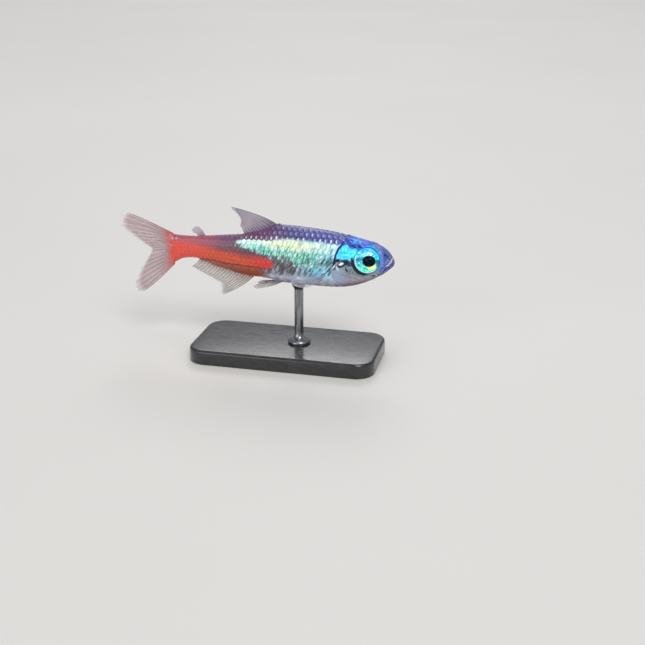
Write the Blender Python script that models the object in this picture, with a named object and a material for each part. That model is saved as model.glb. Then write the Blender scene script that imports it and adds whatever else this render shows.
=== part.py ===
# Neon tetra as a still, life-size model on a plain display stand.
# World frame: +X towards the snout, +Y to the fish's left, +Z up, and the table at z = 0.

import math
from bisect import bisect_right

import bmesh
import bpy
from mathutils import Matrix, Vector

MM = 0.001

# The whole fish. The standard length runs from the snout tip to the root of the tail fin.
STANDARD_LENGTH = 30.0 * MM
SNOUT_X = 18.65 * MM
AXIS_HEIGHT = 14.0 * MM
GAP = 0.3 * MM  # clearance that neighbouring pieces keep

# Outline of the body in shares of the standard length: the distance behind the snout, the
# back above and the belly below the axis, the half width, and how square the upper half of
# the section is, where 2 is an ellipse.
BODY = (
    (0.000, 0.0000, 0.0000, 0.0000, 2.2),
    (0.012, 0.0280, 0.0210, 0.0260, 2.4),
    (0.030, 0.0470, 0.0390, 0.0380, 2.8),
    (0.058, 0.0660, 0.0590, 0.0490, 3.1),
    (0.100, 0.0810, 0.0830, 0.0580, 3.2),
    (0.170, 0.0980, 0.1100, 0.0645, 2.8),
    (0.260, 0.1180, 0.1250, 0.0680, 2.4),
    (0.380, 0.1310, 0.1260, 0.0675, 2.3),
    (0.500, 0.1375, 0.1175, 0.0610, 2.2),
    (0.570, 0.1080, 0.1070, 0.0550, 2.2),
    (0.640, 0.0885, 0.1010, 0.0480, 2.2),
    (0.770, 0.0730, 0.0735, 0.0345, 2.2),
    (0.900, 0.0605, 0.0400, 0.0225, 2.2),
    (0.945, 0.0600, 0.0450, 0.0185, 2.2),
    (0.975, 0.0620, 0.0590, 0.0160, 2.2),
    (1.000, 0.0660, 0.0760, 0.0150, 2.2),
)
LOWER_SQUARENESS = 2.15
AROUND = 32
HEAD_RINGS = 17
TRUNK_RINGS = 22
STEM_RINGS = 6
STEM_START = 0.875

# Hind edge of the gill covers: its hindmost point, as (along, share of the section's height),
# how far forward the nape and the throat lie from it, and how far the rim stands off the trunk.
GILL_HIND = (0.258, -0.3)
GILL_NAPE = 0.0575
GILL_THROAT = 0.055
GILL_RISE = 0.12 * MM
GILL_RIM = 0.05

# Eyes: the centre in shares of the standard length, and the rim's distance from the middle.
EYE_ALONG = 0.1087
EYE_HEIGHT = 0.019
EYE_OUT = 1.62 * MM
EYE_RADIUS = 1.66 * MM
EYE_DOME = 0.5 * MM
EYE_BOWL = 1.0 * MM
EYE_FORWARD = 7.0
EYE_UPWARD = 4.0

# Mouth: a slit from the snout tip down to its corner, with a lip along each side.
MOUTH_CORNER = (0.042, -0.028)
MOUTH_SLIT = 0.2 * MM
LIP_RISE = 0.1 * MM
LIP_REACH = 0.012

# Nostrils: an open pair of pits on each side, as (along, height, radius).
NOSTRILS = ((0.027, 0.036, 0.13 * MM), (0.037, 0.043, 0.16 * MM))

# Fins: half thicknesses of the web between the rays, and how far a ray stands out of it.
ROOT_HALF = 0.25 * MM
TIP_HALF = 0.12 * MM
RAY_RISE = 0.12 * MM
WEB_REACH = 0.965  # the edge draws in a little between two rays
RAY_STEPS = 5

# Each fin from its first ray (0) to its last (1): lengths in millimetres, angles in degrees
# up from straight back, and how far a ray curls over its length.
DORSAL = {
    "root": (0.503, 0.659),
    "rays": 11,
    "length": ((0.0, 5.5), (0.15, 5.9), (0.3, 5.3), (0.5, 3.9), (0.75, 2.2), (1.0, 1.0)),
    "angle": ((0.0, 18.0), (0.5, 33.0), (1.0, 54.0)),
    "curl": ((0.0, 8.0), (1.0, 4.0)),
}
ADIPOSE = {
    "root": (0.843, 0.867),
    "rays": 4,
    "length": ((0.0, 1.8), (0.5, 1.35), (1.0, 0.6)),
    "angle": ((0.0, 34.0), (1.0, 16.0)),
    "curl": ((0.0, 40.0), (1.0, 10.0)),
}
ANAL = {
    "root": (0.6146, 0.865),
    "rays": 19,
    "length": ((0.0, 5.4), (0.12, 4.7), (0.25, 3.4), (0.4, 2.5), (0.7, 2.0), (1.0, 1.6)),
    "angle": ((0.0, -36.0), (0.4, -40.0), (1.0, -36.0)),
    "curl": ((0.0, -10.0), (1.0, -6.0)),
}
TAIL_UPPER = {
    "root": (0.0640, 0.0090),
    "rays": 10,
    "length": ((0.0, 6.5), (0.15, 7.1), (0.3, 7.0), (0.5, 5.4), (0.75, 3.9), (1.0, 2.8)),
    "angle": ((0.0, 30.0), (0.15, 25.0), (0.3, 16.0), (0.5, 8.0), (1.0, -13.0)),
    "curl": ((0.0, 14.0), (1.0, 0.0)),
}
TAIL_LOWER = {
    "root": (-0.0740, -0.0015),
    "rays": 9,
    "length": ((0.0, 6.2), (0.15, 6.8), (0.3, 6.7), (0.5, 5.6), (0.8, 3.9), (1.0, 3.0)),
    "angle": ((0.0, -58.0), (0.15, -53.0), (0.5, -39.0), (1.0, -17.0)),
    "curl": ((0.0, -24.0), (1.0, 0.0)),
}
# The paired fins: where the base sits along the body and round it (degrees, 0 on the flank
# and -90 under the belly), how long it is, and how the blade leaves it: swept outward and
# down from straight back, and rolled about its own length.
PECTORAL = {
    "along": 0.286,
    "round": -33.0,
    "base": 1.0 * MM,
    "outward": 20.0,
    "down": 5.0,
    "roll": 36.0,
    "rays": 11,
    "length": ((0.0, 4.3), (0.2, 4.6), (0.5, 4.0), (1.0, 2.2)),
    "angle": ((0.0, 6.0), (1.0, -24.0)),
    "curl": ((0.0, 0.0), (1.0, 0.0)),
}
PELVIC = {
    "along": 0.488,
    "round": -73.0,
    "base": 0.8 * MM,
    "outward": 8.0,
    "down": 11.0,
    "roll": 122.0,
    "rays": 8,
    "length": ((0.0, 4.0), (0.2, 4.2), (0.5, 3.6), (1.0, 2.3)),
    "angle": ((0.0, 0.0), (1.0, -18.0)),
    "curl": ((0.0, 0.0), (1.0, 0.0)),
}

# Display stand: a plate with round corners and one rod up to the belly.
BASE_CENTRE_X = 4.5 * MM
BASE_LENGTH = 25.0 * MM
BASE_WIDTH = 12.0 * MM
BASE_HEIGHT = 2.0 * MM
BASE_CORNER = 2.5 * MM
BASE_EDGE = 0.4 * MM
ROD_ALONG = 0.42
ROD_RADIUS = 0.6 * MM
ROD_FOOT_RADIUS = 1.5 * MM
ROD_FOOT_HEIGHT = 0.8 * MM

# Colours as in the photo: linear red, green and blue, then roughness and metallic value.
BACK_VIOLET = ((0.10, 0.09, 0.19), 0.35, 0.1)
NEON_CYAN = ((0.03, 0.42, 0.55), 0.25, 0.4)
BAND_RED = ((0.48, 0.05, 0.05), 0.35, 0.1)
FIN_CLEAR = ((0.42, 0.38, 0.42), 0.3, 0.0)
EYE_CYAN = ((0.02, 0.33, 0.36), 0.12, 0.3)
PAINT_BLACK = ((0.02, 0.02, 0.022), 0.4, 0.0)
ROD_STEEL = ((0.55, 0.56, 0.58), 0.3, 1.0)


def curve_through(points):
    """A smooth function through the points, level where they turn, so it never overshoots."""
    xs = [point[0] for point in points]
    ys = [point[1] for point in points]
    steps = [b - a for a, b in zip(xs, xs[1:])]
    slopes = [(b - a) / step for a, b, step in zip(ys, ys[1:], steps)]
    inner = [0.0 if p * q <= 0.0 else 2.0 * p * q / (p + q) for p, q in zip(slopes, slopes[1:])]
    tangents = [slopes[0], *inner, slopes[-1]]

    def value(x):
        i = max(0, min(bisect_right(xs, x) - 1, len(steps) - 1))
        t = (x - xs[i]) / steps[i]
        rise = ys[i] * (1 + 2 * t) * (1 - t) ** 2 + ys[i + 1] * t * t * (3 - 2 * t)
        bend = tangents[i] * t * (1 - t) ** 2 - tangents[i + 1] * t * t * (1 - t)
        return rise + bend * steps[i]

    return value


# The body's sizes change fast at the blunt snout, so they are smooth in the root of the
# distance behind it.
BACK, BELLY, HALF_WIDTH, SQUARENESS = (
    curve_through([(math.sqrt(row[0]), row[column]) for row in BODY]) for column in (1, 2, 3, 4)
)


def at(along, height=0.0, y=0.0):
    """A point in the fish's own shares of length, as a world position."""
    return Vector((SNOUT_X - along * STANDARD_LENGTH, y, AXIS_HEIGHT + height * STANDARD_LENGTH))


def skin_point(along, turn, lift=0.0):
    """A point of the body's surface: turn is 0 on the left flank and a right angle on the back."""
    u = math.sqrt(along)
    side, up = math.cos(turn), math.sin(turn)
    tall = (BACK(u) if up > 0 else BELLY(u)) * STANDARD_LENGTH + lift
    wide = HALF_WIDTH(u) * STANDARD_LENGTH + lift
    power = SQUARENESS(u) if up > 0 else LOWER_SQUARENESS
    corner = (abs(side) ** power + abs(up) ** power) ** (-1 / power)
    return at(along) + Vector((0, wide * side * corner, tall * up * corner))


def skin_normal(along, turn):
    """The outward direction at a point of the body's surface."""
    step = 0.004
    forward = skin_point(along - step, turn) - skin_point(along + step, turn)
    round_body = skin_point(along, turn + step) - skin_point(along, turn - step)
    return round_body.cross(forward).normalized()


def turns():
    return [2 * math.pi * i / AROUND for i in range(AROUND)]


def gill_edge(turn):
    """Where the gill cover ends along the body, at this turn round it."""
    hind_along, level = GILL_HIND
    up = math.sin(turn) - level
    forward = GILL_NAPE * (up / (1 - level)) ** 2 if up > 0 else GILL_THROAT * (up / (1 + level)) ** 2
    return hind_along - forward


def lip(along, height):
    """How far the skin swells beside the mouth line, from 0 to 1."""
    corner_along, corner_height = MOUTH_CORNER
    away = (height - corner_height * along / corner_along) / LIP_REACH
    fade = max(0.0, 1 - (along / corner_along) ** 4)
    return math.exp(-away * away) * fade


def give_material(obj, look):
    """The object's own material, from (colour, roughness, metallic)."""
    colour, roughness, metallic = look
    material = bpy.data.materials.new(obj.name)
    material.use_nodes = True
    shader = material.node_tree.nodes["Principled BSDF"]
    shader.inputs["Base Color"].default_value = (*colour, 1)
    shader.inputs["Roughness"].default_value = roughness
    shader.inputs["Metallic"].default_value = metallic
    obj.data.materials.append(material)


def add_object(name, shape, look=None):
    """A smooth-shaded object from a bmesh, or a hidden cutter where it has no look."""
    bmesh.ops.recalc_face_normals(shape, faces=shape.faces)
    if shape.calc_volume(signed=True) < 0:
        bmesh.ops.reverse_faces(shape, faces=shape.faces)
    mesh = bpy.data.meshes.new(name)
    shape.to_mesh(mesh)
    shape.free()
    obj = bpy.data.objects.new(name, mesh)
    bpy.context.scene.collection.objects.link(obj)
    if look is None:
        obj.hide_render = True
        obj.display_type = "WIRE"
        return obj
    mesh.shade_smooth()
    mesh.set_sharp_from_angle(angle=math.radians(40))
    give_material(obj, look)
    return obj


def cut(obj, cutter):
    modifier = obj.modifiers.new(cutter.name, "BOOLEAN")
    modifier.operation = "DIFFERENCE"
    modifier.solver = "EXACT"
    modifier.object = cutter


def add_loft(name, rings, look, front=None):
    """A closed surface over rings of points. A ring at an end closes on front or its middle."""
    shape = bmesh.new()
    loops = [[shape.verts.new(point) for point in ring] for ring in rings]
    for near, far in zip(loops, loops[1:]):
        for i in range(AROUND):
            j = (i + 1) % AROUND
            shape.faces.new((near[i], near[j], far[j], far[i]))
    for loop, ring, end in ((loops[0], rings[0], front), (loops[-1], rings[-1], None)):
        middle = shape.verts.new(end or sum(ring, Vector()) / AROUND)
        for i in range(AROUND):
            shape.faces.new((loop[i], loop[(i + 1) % AROUND], middle))
    return add_object(name, shape, look)


def add_head():
    """Snout to gill covers, with the mouth's slit, lips, nostrils and eye sockets."""
    rings = []
    for k in range(1, HEAD_RINGS + 1):
        ring = []
        for turn in turns():
            along = gill_edge(turn) * (k / HEAD_RINGS) ** 2
            flat = skin_point(along, turn)
            height = (flat.z - AXIS_HEIGHT) / STANDARD_LENGTH
            rim = max(0.0, 1 - (gill_edge(turn) - along) / GILL_RIM) * abs(math.cos(turn))
            lift = LIP_RISE * lip(along, height) + GILL_RISE * rim
            ring.append(skin_point(along, turn, lift))
        rings.append(ring)
    head = add_loft("head", rings, NEON_CYAN, front=at(0.0))
    cut(head, add_mouth_cutter())
    cut(head, add_nostril_cutter())
    for side in (-1, 1):
        cut(head, add_eye_shape(f"socket_cutter_{side}", side, GAP, 2 * EYE_DOME))


def add_mouth_cutter():
    """A thin slab from the mouth's corner out past the snout tip, wider than the head there."""
    corner = at(*MOUTH_CORNER)
    forward = (at(0.0) - corner).normalized()
    length = 3 * (at(0.0) - corner).length
    width = 4 * HALF_WIDTH(math.sqrt(MOUTH_CORNER[0])) * STANDARD_LENGTH
    turned = forward.to_track_quat("X", "Z").to_matrix().to_4x4()
    place = Matrix.Translation(corner + forward * length / 2) @ turned
    shape = bmesh.new()
    bmesh.ops.create_cube(shape, size=1, matrix=place @ Matrix.Diagonal((length, width, MOUTH_SLIT, 1)))
    return add_object("mouth_cutter", shape)


def turn_at_height(along, height):
    """The turn on the left flank where the skin has this height above the axis."""
    low, high = 0.0, math.pi / 2
    for _ in range(30):
        middle = (low + high) / 2
        if skin_point(along, middle).z < at(along, height).z:
            low = middle
        else:
            high = middle
    return low


def add_nostril_cutter():
    shape = bmesh.new()
    for along, height, radius in NOSTRILS:
        left = skin_point(along, turn_at_height(along, height))
        for side in (-1, 1):
            centre = Vector((left.x, left.y * side, left.z))
            place = Matrix.Translation(centre)
            bmesh.ops.create_icosphere(shape, subdivisions=2, radius=radius, matrix=place)
    return add_object("nostril_cutter", shape)


def add_eye_shape(name, side, grow, more_dome=0.0, look=None):
    """A lens lying in the flank: a low dome outside its rim and a deeper bowl inside."""
    shape = bmesh.new()
    bmesh.ops.create_uvsphere(shape, u_segments=28, v_segments=12, radius=1)
    radius = EYE_RADIUS + grow
    for vertex in shape.verts:
        depth = EYE_DOME + grow + more_dome if vertex.co.z > 0 else EYE_BOWL + grow
        vertex.co = (vertex.co.x * radius, vertex.co.y * radius, vertex.co.z * depth)
    forward, upward = math.radians(EYE_FORWARD), math.radians(EYE_UPWARD)
    outward = Vector((math.sin(forward), side * math.cos(forward), math.tan(upward))).normalized()
    turned = outward.to_track_quat("Z", "Y").to_matrix().to_4x4()
    centre = at(EYE_ALONG, EYE_HEIGHT, side * EYE_OUT)
    shape.transform(Matrix.Translation(centre) @ turned)
    return add_object(name, shape, look)


def add_trunk():
    rings = []
    for k in range(TRUNK_RINGS + 1):
        share = k / TRUNK_RINGS
        ring = []
        for turn in turns():
            start = gill_edge(turn) + GAP / STANDARD_LENGTH
            ring.append(skin_point(start + (STEM_START - start) * share, turn))
        rings.append(ring)
    add_loft("trunk", rings, BACK_VIOLET)


def add_tail_stem():
    start = STEM_START + GAP / STANDARD_LENGTH
    alongs = [start + (1 - start) * k / STEM_RINGS for k in range(STEM_RINGS + 1)]
    add_loft("tail_stem", [[skin_point(along, turn) for turn in turns()] for along in alongs], BAND_RED)


def fin_faces(fin, root, back, spread, root_plane=None):
    """The left and right face of a fin as columns of points: each ray, and the web between two.

    With a root plane, given as a point and a normal, both faces start on that plane."""
    length, angle, curl = (curve_through(fin[name]) for name in ("length", "angle", "curl"))
    across = back.cross(spread)
    last = 2 * fin["rays"] - 2
    faces = ([], [])
    for i in range(last + 1):
        share = i / last
        on_ray = i % 2 == 0
        reach = length(share) * MM * (1.0 if on_ray else WEB_REACH)
        rise = RAY_RISE if on_ray else 0.0
        for face, sign in zip(faces, (1, -1)):
            slide = Vector()
            if root_plane:
                on_plane, normal = root_plane
                start = root(share) + across * sign * (ROOT_HALF + rise)
                slide = back * ((on_plane - start).dot(normal) / back.dot(normal))
            column = []
            for k in range(RAY_STEPS + 1):
                t = k / RAY_STEPS
                turn = math.radians(angle(share) - curl(share) * t / 2)
                point = root(share) + (back * math.cos(turn) + spread * math.sin(turn)) * reach * t
                half = (ROOT_HALF + rise) * (1 - t) + TIP_HALF * t
                column.append(point + across * sign * half + slide * (1 - t))
            face.append(column)
    return faces


def add_blade(name, faces):
    """A thin closed sheet between two faces, which are split into triangles alike."""
    shape = bmesh.new()
    left, right = ([[shape.verts.new(point) for point in column] for column in face] for face in faces)
    for face in (left, right):
        for first, second in zip(face, face[1:]):
            for k in range(RAY_STEPS):
                shape.faces.new((first[k], second[k], second[k + 1]))
                shape.faces.new((first[k], second[k + 1], first[k + 1]))
    close_strip(shape, left[0], right[0])
    close_strip(shape, left[-1], right[-1])
    for end in (0, -1):
        close_strip(shape, [column[end] for column in left], [column[end] for column in right])
    add_object(name, shape, FIN_CLEAR)


def close_strip(shape, one, other):
    for k in range(len(one) - 1):
        shape.faces.new((one[k], one[k + 1], other[k + 1], other[k]))


def add_upright_fin(name, fin, root):
    add_blade(name, fin_faces(fin, root, Vector((-1, 0, 0)), Vector((0, 0, 1))))


def edge_root(fin, up):
    """The root line of a fin on the back (up is 1) or under the belly (-1), clear of the skin."""
    first, last = fin["root"]
    turn = up * math.pi / 2

    def root(share):
        along = first + (last - first) * share
        return skin_point(along, turn) + skin_normal(along, turn) * GAP

    return root


def tail_root(fin):
    first, last = fin["root"]
    return lambda share: at(1 + GAP / STANDARD_LENGTH, first + (last - first) * share)


def add_paired_fin(name, fin, side):
    """A pectoral or pelvic fin: its root runs where the plane of its blade meets the skin."""
    turn = math.radians(fin["round"])
    if side < 0:
        turn = math.pi - turn
    normal = skin_normal(fin["along"], turn)
    outward, down = math.radians(fin["outward"]), math.radians(fin["down"])
    back = Vector((-math.cos(outward), side * math.sin(outward), -math.tan(down))).normalized()
    upright = (Vector((0, 0, 1)) - back * back.z).normalized()
    spread = Matrix.Rotation(math.radians(fin["roll"]) * side, 3, back) @ upright
    base = normal.cross(back.cross(spread)).normalized() * fin["base"]
    if base.dot(spread) < 0:
        base.negate()
    clear = skin_point(fin["along"], turn) + normal * GAP
    faces = fin_faces(fin, lambda share: clear + base * (0.5 - share), back, spread, (clear, normal))
    add_blade(name, faces)


def add_stand():
    shape = bmesh.new()
    size = Matrix.Diagonal((BASE_LENGTH, BASE_WIDTH, BASE_HEIGHT, 1))
    place = Matrix.Translation((BASE_CENTRE_X, 0, BASE_HEIGHT / 2))
    bmesh.ops.create_cube(shape, size=1, matrix=place @ size)
    upright = [edge for edge in shape.edges if abs(edge.verts[0].co.z - edge.verts[1].co.z) > BASE_EDGE]
    bmesh.ops.bevel(shape, geom=upright, offset=BASE_CORNER, segments=6, profile=0.5, affect="EDGES")
    rim = [edge for edge in shape.edges if min(v.co.z for v in edge.verts) > BASE_HEIGHT - BASE_EDGE / 2]
    bmesh.ops.bevel(shape, geom=rim, offset=BASE_EDGE, segments=3, profile=0.5, affect="EDGES")
    add_object("stand_base", shape, PAINT_BLACK)

    top = at(ROD_ALONG).z - BELLY(math.sqrt(ROD_ALONG)) * STANDARD_LENGTH - GAP
    foot = BASE_HEIGHT + GAP
    outline = (
        (0, foot),
        (ROD_FOOT_RADIUS, foot),
        (ROD_FOOT_RADIUS, foot + ROD_FOOT_HEIGHT / 2),
        (ROD_FOOT_RADIUS - 0.3 * MM, foot + ROD_FOOT_HEIGHT),
        (ROD_RADIUS, foot + ROD_FOOT_HEIGHT),
        (ROD_RADIUS, top),
        (0, top),
    )
    shape = bmesh.new()
    x = at(ROD_ALONG).x
    verts = [shape.verts.new((x + radius, 0, z)) for radius, z in outline]
    edges = [shape.edges.new(pair) for pair in zip(verts, verts[1:])]
    full_turn = {"cent": (x, 0, 0), "axis": (0, 0, 1), "angle": 2 * math.pi, "steps": 24}
    bmesh.ops.spin(shape, geom=verts + edges, use_merge=True, **full_turn)
    bmesh.ops.remove_doubles(shape, verts=shape.verts, dist=1e-6)
    add_object("stand_rod", shape, ROD_STEEL)


def main():
    for obj in list(bpy.data.objects):
        bpy.data.objects.remove(obj)
    add_head()
    for side, name in ((-1, "right"), (1, "left")):
        add_eye_shape(f"eye_{name}", side, 0.0, look=EYE_CYAN)
    add_trunk()
    add_tail_stem()
    add_upright_fin("dorsal_fin", DORSAL, edge_root(DORSAL, 1))
    add_upright_fin("adipose_fin", ADIPOSE, edge_root(ADIPOSE, 1))
    add_upright_fin("anal_fin", ANAL, edge_root(ANAL, -1))
    add_upright_fin("tail_fin_upper", TAIL_UPPER, tail_root(TAIL_UPPER))
    add_upright_fin("tail_fin_lower", TAIL_LOWER, tail_root(TAIL_LOWER))
    for side, name in ((-1, "right"), (1, "left")):
        add_paired_fin(f"pectoral_fin_{name}", PECTORAL, side)
        add_paired_fin(f"pelvic_fin_{name}", PELVIC, side)
    add_stand()


main()
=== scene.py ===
import math

import bmesh
import bpy
import numpy as np
from mathutils import Matrix, Vector


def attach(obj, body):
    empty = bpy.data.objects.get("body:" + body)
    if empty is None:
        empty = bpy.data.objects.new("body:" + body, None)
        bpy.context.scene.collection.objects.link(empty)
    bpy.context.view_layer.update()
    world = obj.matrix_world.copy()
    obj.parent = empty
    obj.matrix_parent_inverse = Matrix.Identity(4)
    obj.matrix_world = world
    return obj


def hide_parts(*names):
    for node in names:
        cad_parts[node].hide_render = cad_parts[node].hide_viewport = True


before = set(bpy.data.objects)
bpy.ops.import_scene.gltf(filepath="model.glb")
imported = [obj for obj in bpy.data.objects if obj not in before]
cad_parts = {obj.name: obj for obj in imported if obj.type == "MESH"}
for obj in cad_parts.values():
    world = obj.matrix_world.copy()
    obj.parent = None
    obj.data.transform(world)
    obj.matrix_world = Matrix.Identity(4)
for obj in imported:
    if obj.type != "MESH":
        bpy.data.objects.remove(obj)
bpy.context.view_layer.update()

mm = 0.001

# The fish's own measures, as in the solids. Places on it are given as (along, height): shares of
# the length from the snout tip to the tail root, behind the snout and above the body's axis.
fish = {
    "length": 30.0 * mm,
    "snoutX": 18.65 * mm,
    "axisHeight": 14.0 * mm,
    "gap": 0.3 * mm,  # what the solids keep between their pieces
    "coatDepth": 0.09 * mm,  # the skin lies this far inside the solids where scales cover it
    "lowerSquareness": 2.15,
    # along, back above the axis, belly below it, half width, squareness of the upper half
    "stations": (
        (0.000, 0.0000, 0.0000, 0.0000, 2.2),
        (0.012, 0.0280, 0.0210, 0.0260, 2.4),
        (0.030, 0.0470, 0.0390, 0.0380, 2.8),
        (0.058, 0.0660, 0.0590, 0.0490, 3.1),
        (0.100, 0.0810, 0.0830, 0.0580, 3.2),
        (0.170, 0.0980, 0.1100, 0.0645, 2.8),
        (0.260, 0.1180, 0.1250, 0.0680, 2.4),
        (0.380, 0.1310, 0.1260, 0.0675, 2.3),
        (0.500, 0.1375, 0.1175, 0.0610, 2.2),
        (0.570, 0.1080, 0.1070, 0.0550, 2.2),
        (0.640, 0.0885, 0.1010, 0.0480, 2.2),
        (0.770, 0.0730, 0.0735, 0.0345, 2.2),
        (0.900, 0.0605, 0.0400, 0.0225, 2.2),
        (0.945, 0.0600, 0.0450, 0.0185, 2.2),
        (0.975, 0.0620, 0.0590, 0.0160, 2.2),
        (1.000, 0.0660, 0.0760, 0.0150, 2.2),
    ),
}


def curveThrough(points):
    # a smooth line through the points, level where it turns, so it never overshoots
    xs, ys = np.array(points, float).T
    step = np.diff(xs)
    slope = np.diff(ys) / step
    p, q = slope[:-1], slope[1:]
    inner = np.where(p * q > 0, 2 * p * q / np.where(p + q == 0, 1, p + q), 0)
    tangent = np.concatenate([slope[:1], inner, slope[-1:]])

    def value(x):
        i = np.clip(np.searchsorted(xs, x, side="right") - 1, 0, len(step) - 1)
        t = (x - xs[i]) / step[i]
        rise = ys[i] * (1 + 2 * t) * (1 - t) ** 2 + ys[i + 1] * t * t * (3 - 2 * t)
        bend = tangent[i] * t * (1 - t) ** 2 - tangent[i + 1] * t * t * (1 - t)
        return rise + bend * step[i]

    return value


# sizes change fast at the blunt snout, so they are smooth in the root of the distance behind it
backHeight, bellyDepth, halfWidth, squareness = (
    curveThrough([(math.sqrt(row[0]), row[column]) for row in fish["stations"]])
    for column in (1, 2, 3, 4)
)


def bodyPoint(along, turn, lift=0.0):
    # turn is 0 on the left flank, a right angle on the back and 180 degrees on the right flank
    along, turn = np.broadcast_arrays(np.asarray(along, float), np.asarray(turn, float))
    u = np.sqrt(np.clip(along, 0, 1))
    side, up = np.cos(turn), np.sin(turn)
    tall = np.where(up > 0, backHeight(u), bellyDepth(u)) * fish["length"] + lift
    wide = halfWidth(u) * fish["length"] + lift
    power = np.where(up > 0, squareness(u), fish["lowerSquareness"])
    corner = (np.abs(side) ** power + np.abs(up) ** power) ** (-1 / power)
    x = fish["snoutX"] - along * fish["length"]
    return np.stack([x, wide * side * corner, fish["axisHeight"] + tall * up * corner], -1)


def unit(vectors):
    return vectors / np.linalg.norm(vectors, axis=-1, keepdims=True)


def bodyNormal(along, turn):
    step = 0.004
    along = np.maximum(along, step)
    forward = bodyPoint(along - step, turn) - bodyPoint(along + step, turn)
    roundBody = bodyPoint(along, turn + step) - bodyPoint(along, turn - step)
    return unit(np.cross(roundBody, forward))


def at(along, height=0.0, y=0.0):
    x = fish["snoutX"] - along * fish["length"]
    return Vector((x, y, fish["axisHeight"] + height * fish["length"]))


def heightOf(points):
    # how high points lie over the body's axis, in shares of the length
    return (points[..., 2] - fish["axisHeight"]) / fish["length"]


def fade(value, low, high):
    # 0 at low and 1 at high, smooth between them
    t = np.clip((np.asarray(value, float) - low) / (high - low), 0, 1)
    return t * t * (3 - 2 * t)


def bump(value, centre, width):
    return np.exp(-(((value - centre) / width) ** 2))


def turnOutward(verts, faces):
    # turns the faces over where they look into the body that they close; first corners stay first
    volume = 0.0
    for size in (3, 4):
        group = np.array([face for face in faces if len(face) == size], int).reshape(-1, size)
        corners = verts[group]
        for k in range(1, size - 1):
            volume += np.sum(corners[:, 0] * np.cross(corners[:, k], corners[:, k + 1]))
    return faces if volume > 0 else [(face[0], *face[:0:-1]) for face in faces]


def addPiece(name, verts, faces, material, replaces=(), fields=(), sharp=60):
    verts = np.asarray(verts).reshape(-1, 3)
    mesh = bpy.data.meshes.new(name)
    mesh.from_pydata(verts.tolist(), [], [tuple(face) for face in turnOutward(verts, faces)])
    for field, values in dict(fields).items():
        made = mesh.attributes.new(field, "FLOAT_VECTOR", "POINT")
        made.data.foreach_set("vector", np.asarray(values, np.float32).ravel())
    return finishPiece(name, mesh, material, replaces, sharp)


def finishPiece(name, mesh, material, replaces=(), sharp=60):
    mesh.validate()
    mesh.shade_smooth()
    mesh.set_sharp_from_angle(angle=math.radians(sharp))
    mesh.materials.append(material)
    piece = bpy.data.objects.new(name, mesh)
    bpy.context.scene.collection.objects.link(piece)
    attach(piece, "root")
    if replaces:
        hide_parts(*replaces)
    return piece


def gridFaces(rows, columns, start=0, closed=False):
    # faces of a grid whose rows follow one another, joined round at the end where it is closed
    row, column = np.meshgrid(np.arange(rows - 1), np.arange(columns - (not closed)), indexing="ij")
    after = (column + 1) % columns
    low, high = row * columns, (row + 1) * columns
    corners = np.stack([low + column, low + after, high + after, high + column], -1)
    return (corners.reshape(-1, 4) + start).tolist()


def fanFaces(count, start, middle, turned=False):
    # faces from a ring of points, numbered on from start, to one point in its middle
    pairs = [(start + i, start + (i + 1) % count) for i in range(count)]
    return [(b, a, middle) if turned else (a, b, middle) for a, b in pairs]


# shader helpers

def paint(red, green, blue):
    # a colour as seen on a screen, 0 to 255, for a shader socket
    shares = (red / 255, green / 255, blue / 255)
    return tuple(c / 12.92 if c < 0.0431 else ((c + 0.055) / 1.055) ** 2.4 for c in shares)


class Wire:
    # a value on its way through a material, so that sums of nodes are written as plain sums
    def __init__(self, bench, socket):
        self.bench, self.socket = bench, socket

    def __add__(self, other):
        return self.bench.maths("ADD", self, other)

    def __sub__(self, other):
        return self.bench.maths("SUBTRACT", self, other)

    def __rsub__(self, other):
        return self.bench.maths("SUBTRACT", other, self)

    def __mul__(self, other):
        return self.bench.maths("MULTIPLY", self, other)

    def __truediv__(self, other):
        return self.bench.maths("DIVIDE", self, other)

    def __abs__(self):
        return self.bench.maths("ABSOLUTE", self)

    def fade(self, low, high, least=0.0, most=1.0):
        # least at low and most at high, smooth between them
        values = {0: self, 1: low, 2: high, 3: least, 4: most}
        return self.bench.add("MapRange", values, interpolation_type="SMOOTHSTEP")


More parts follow.
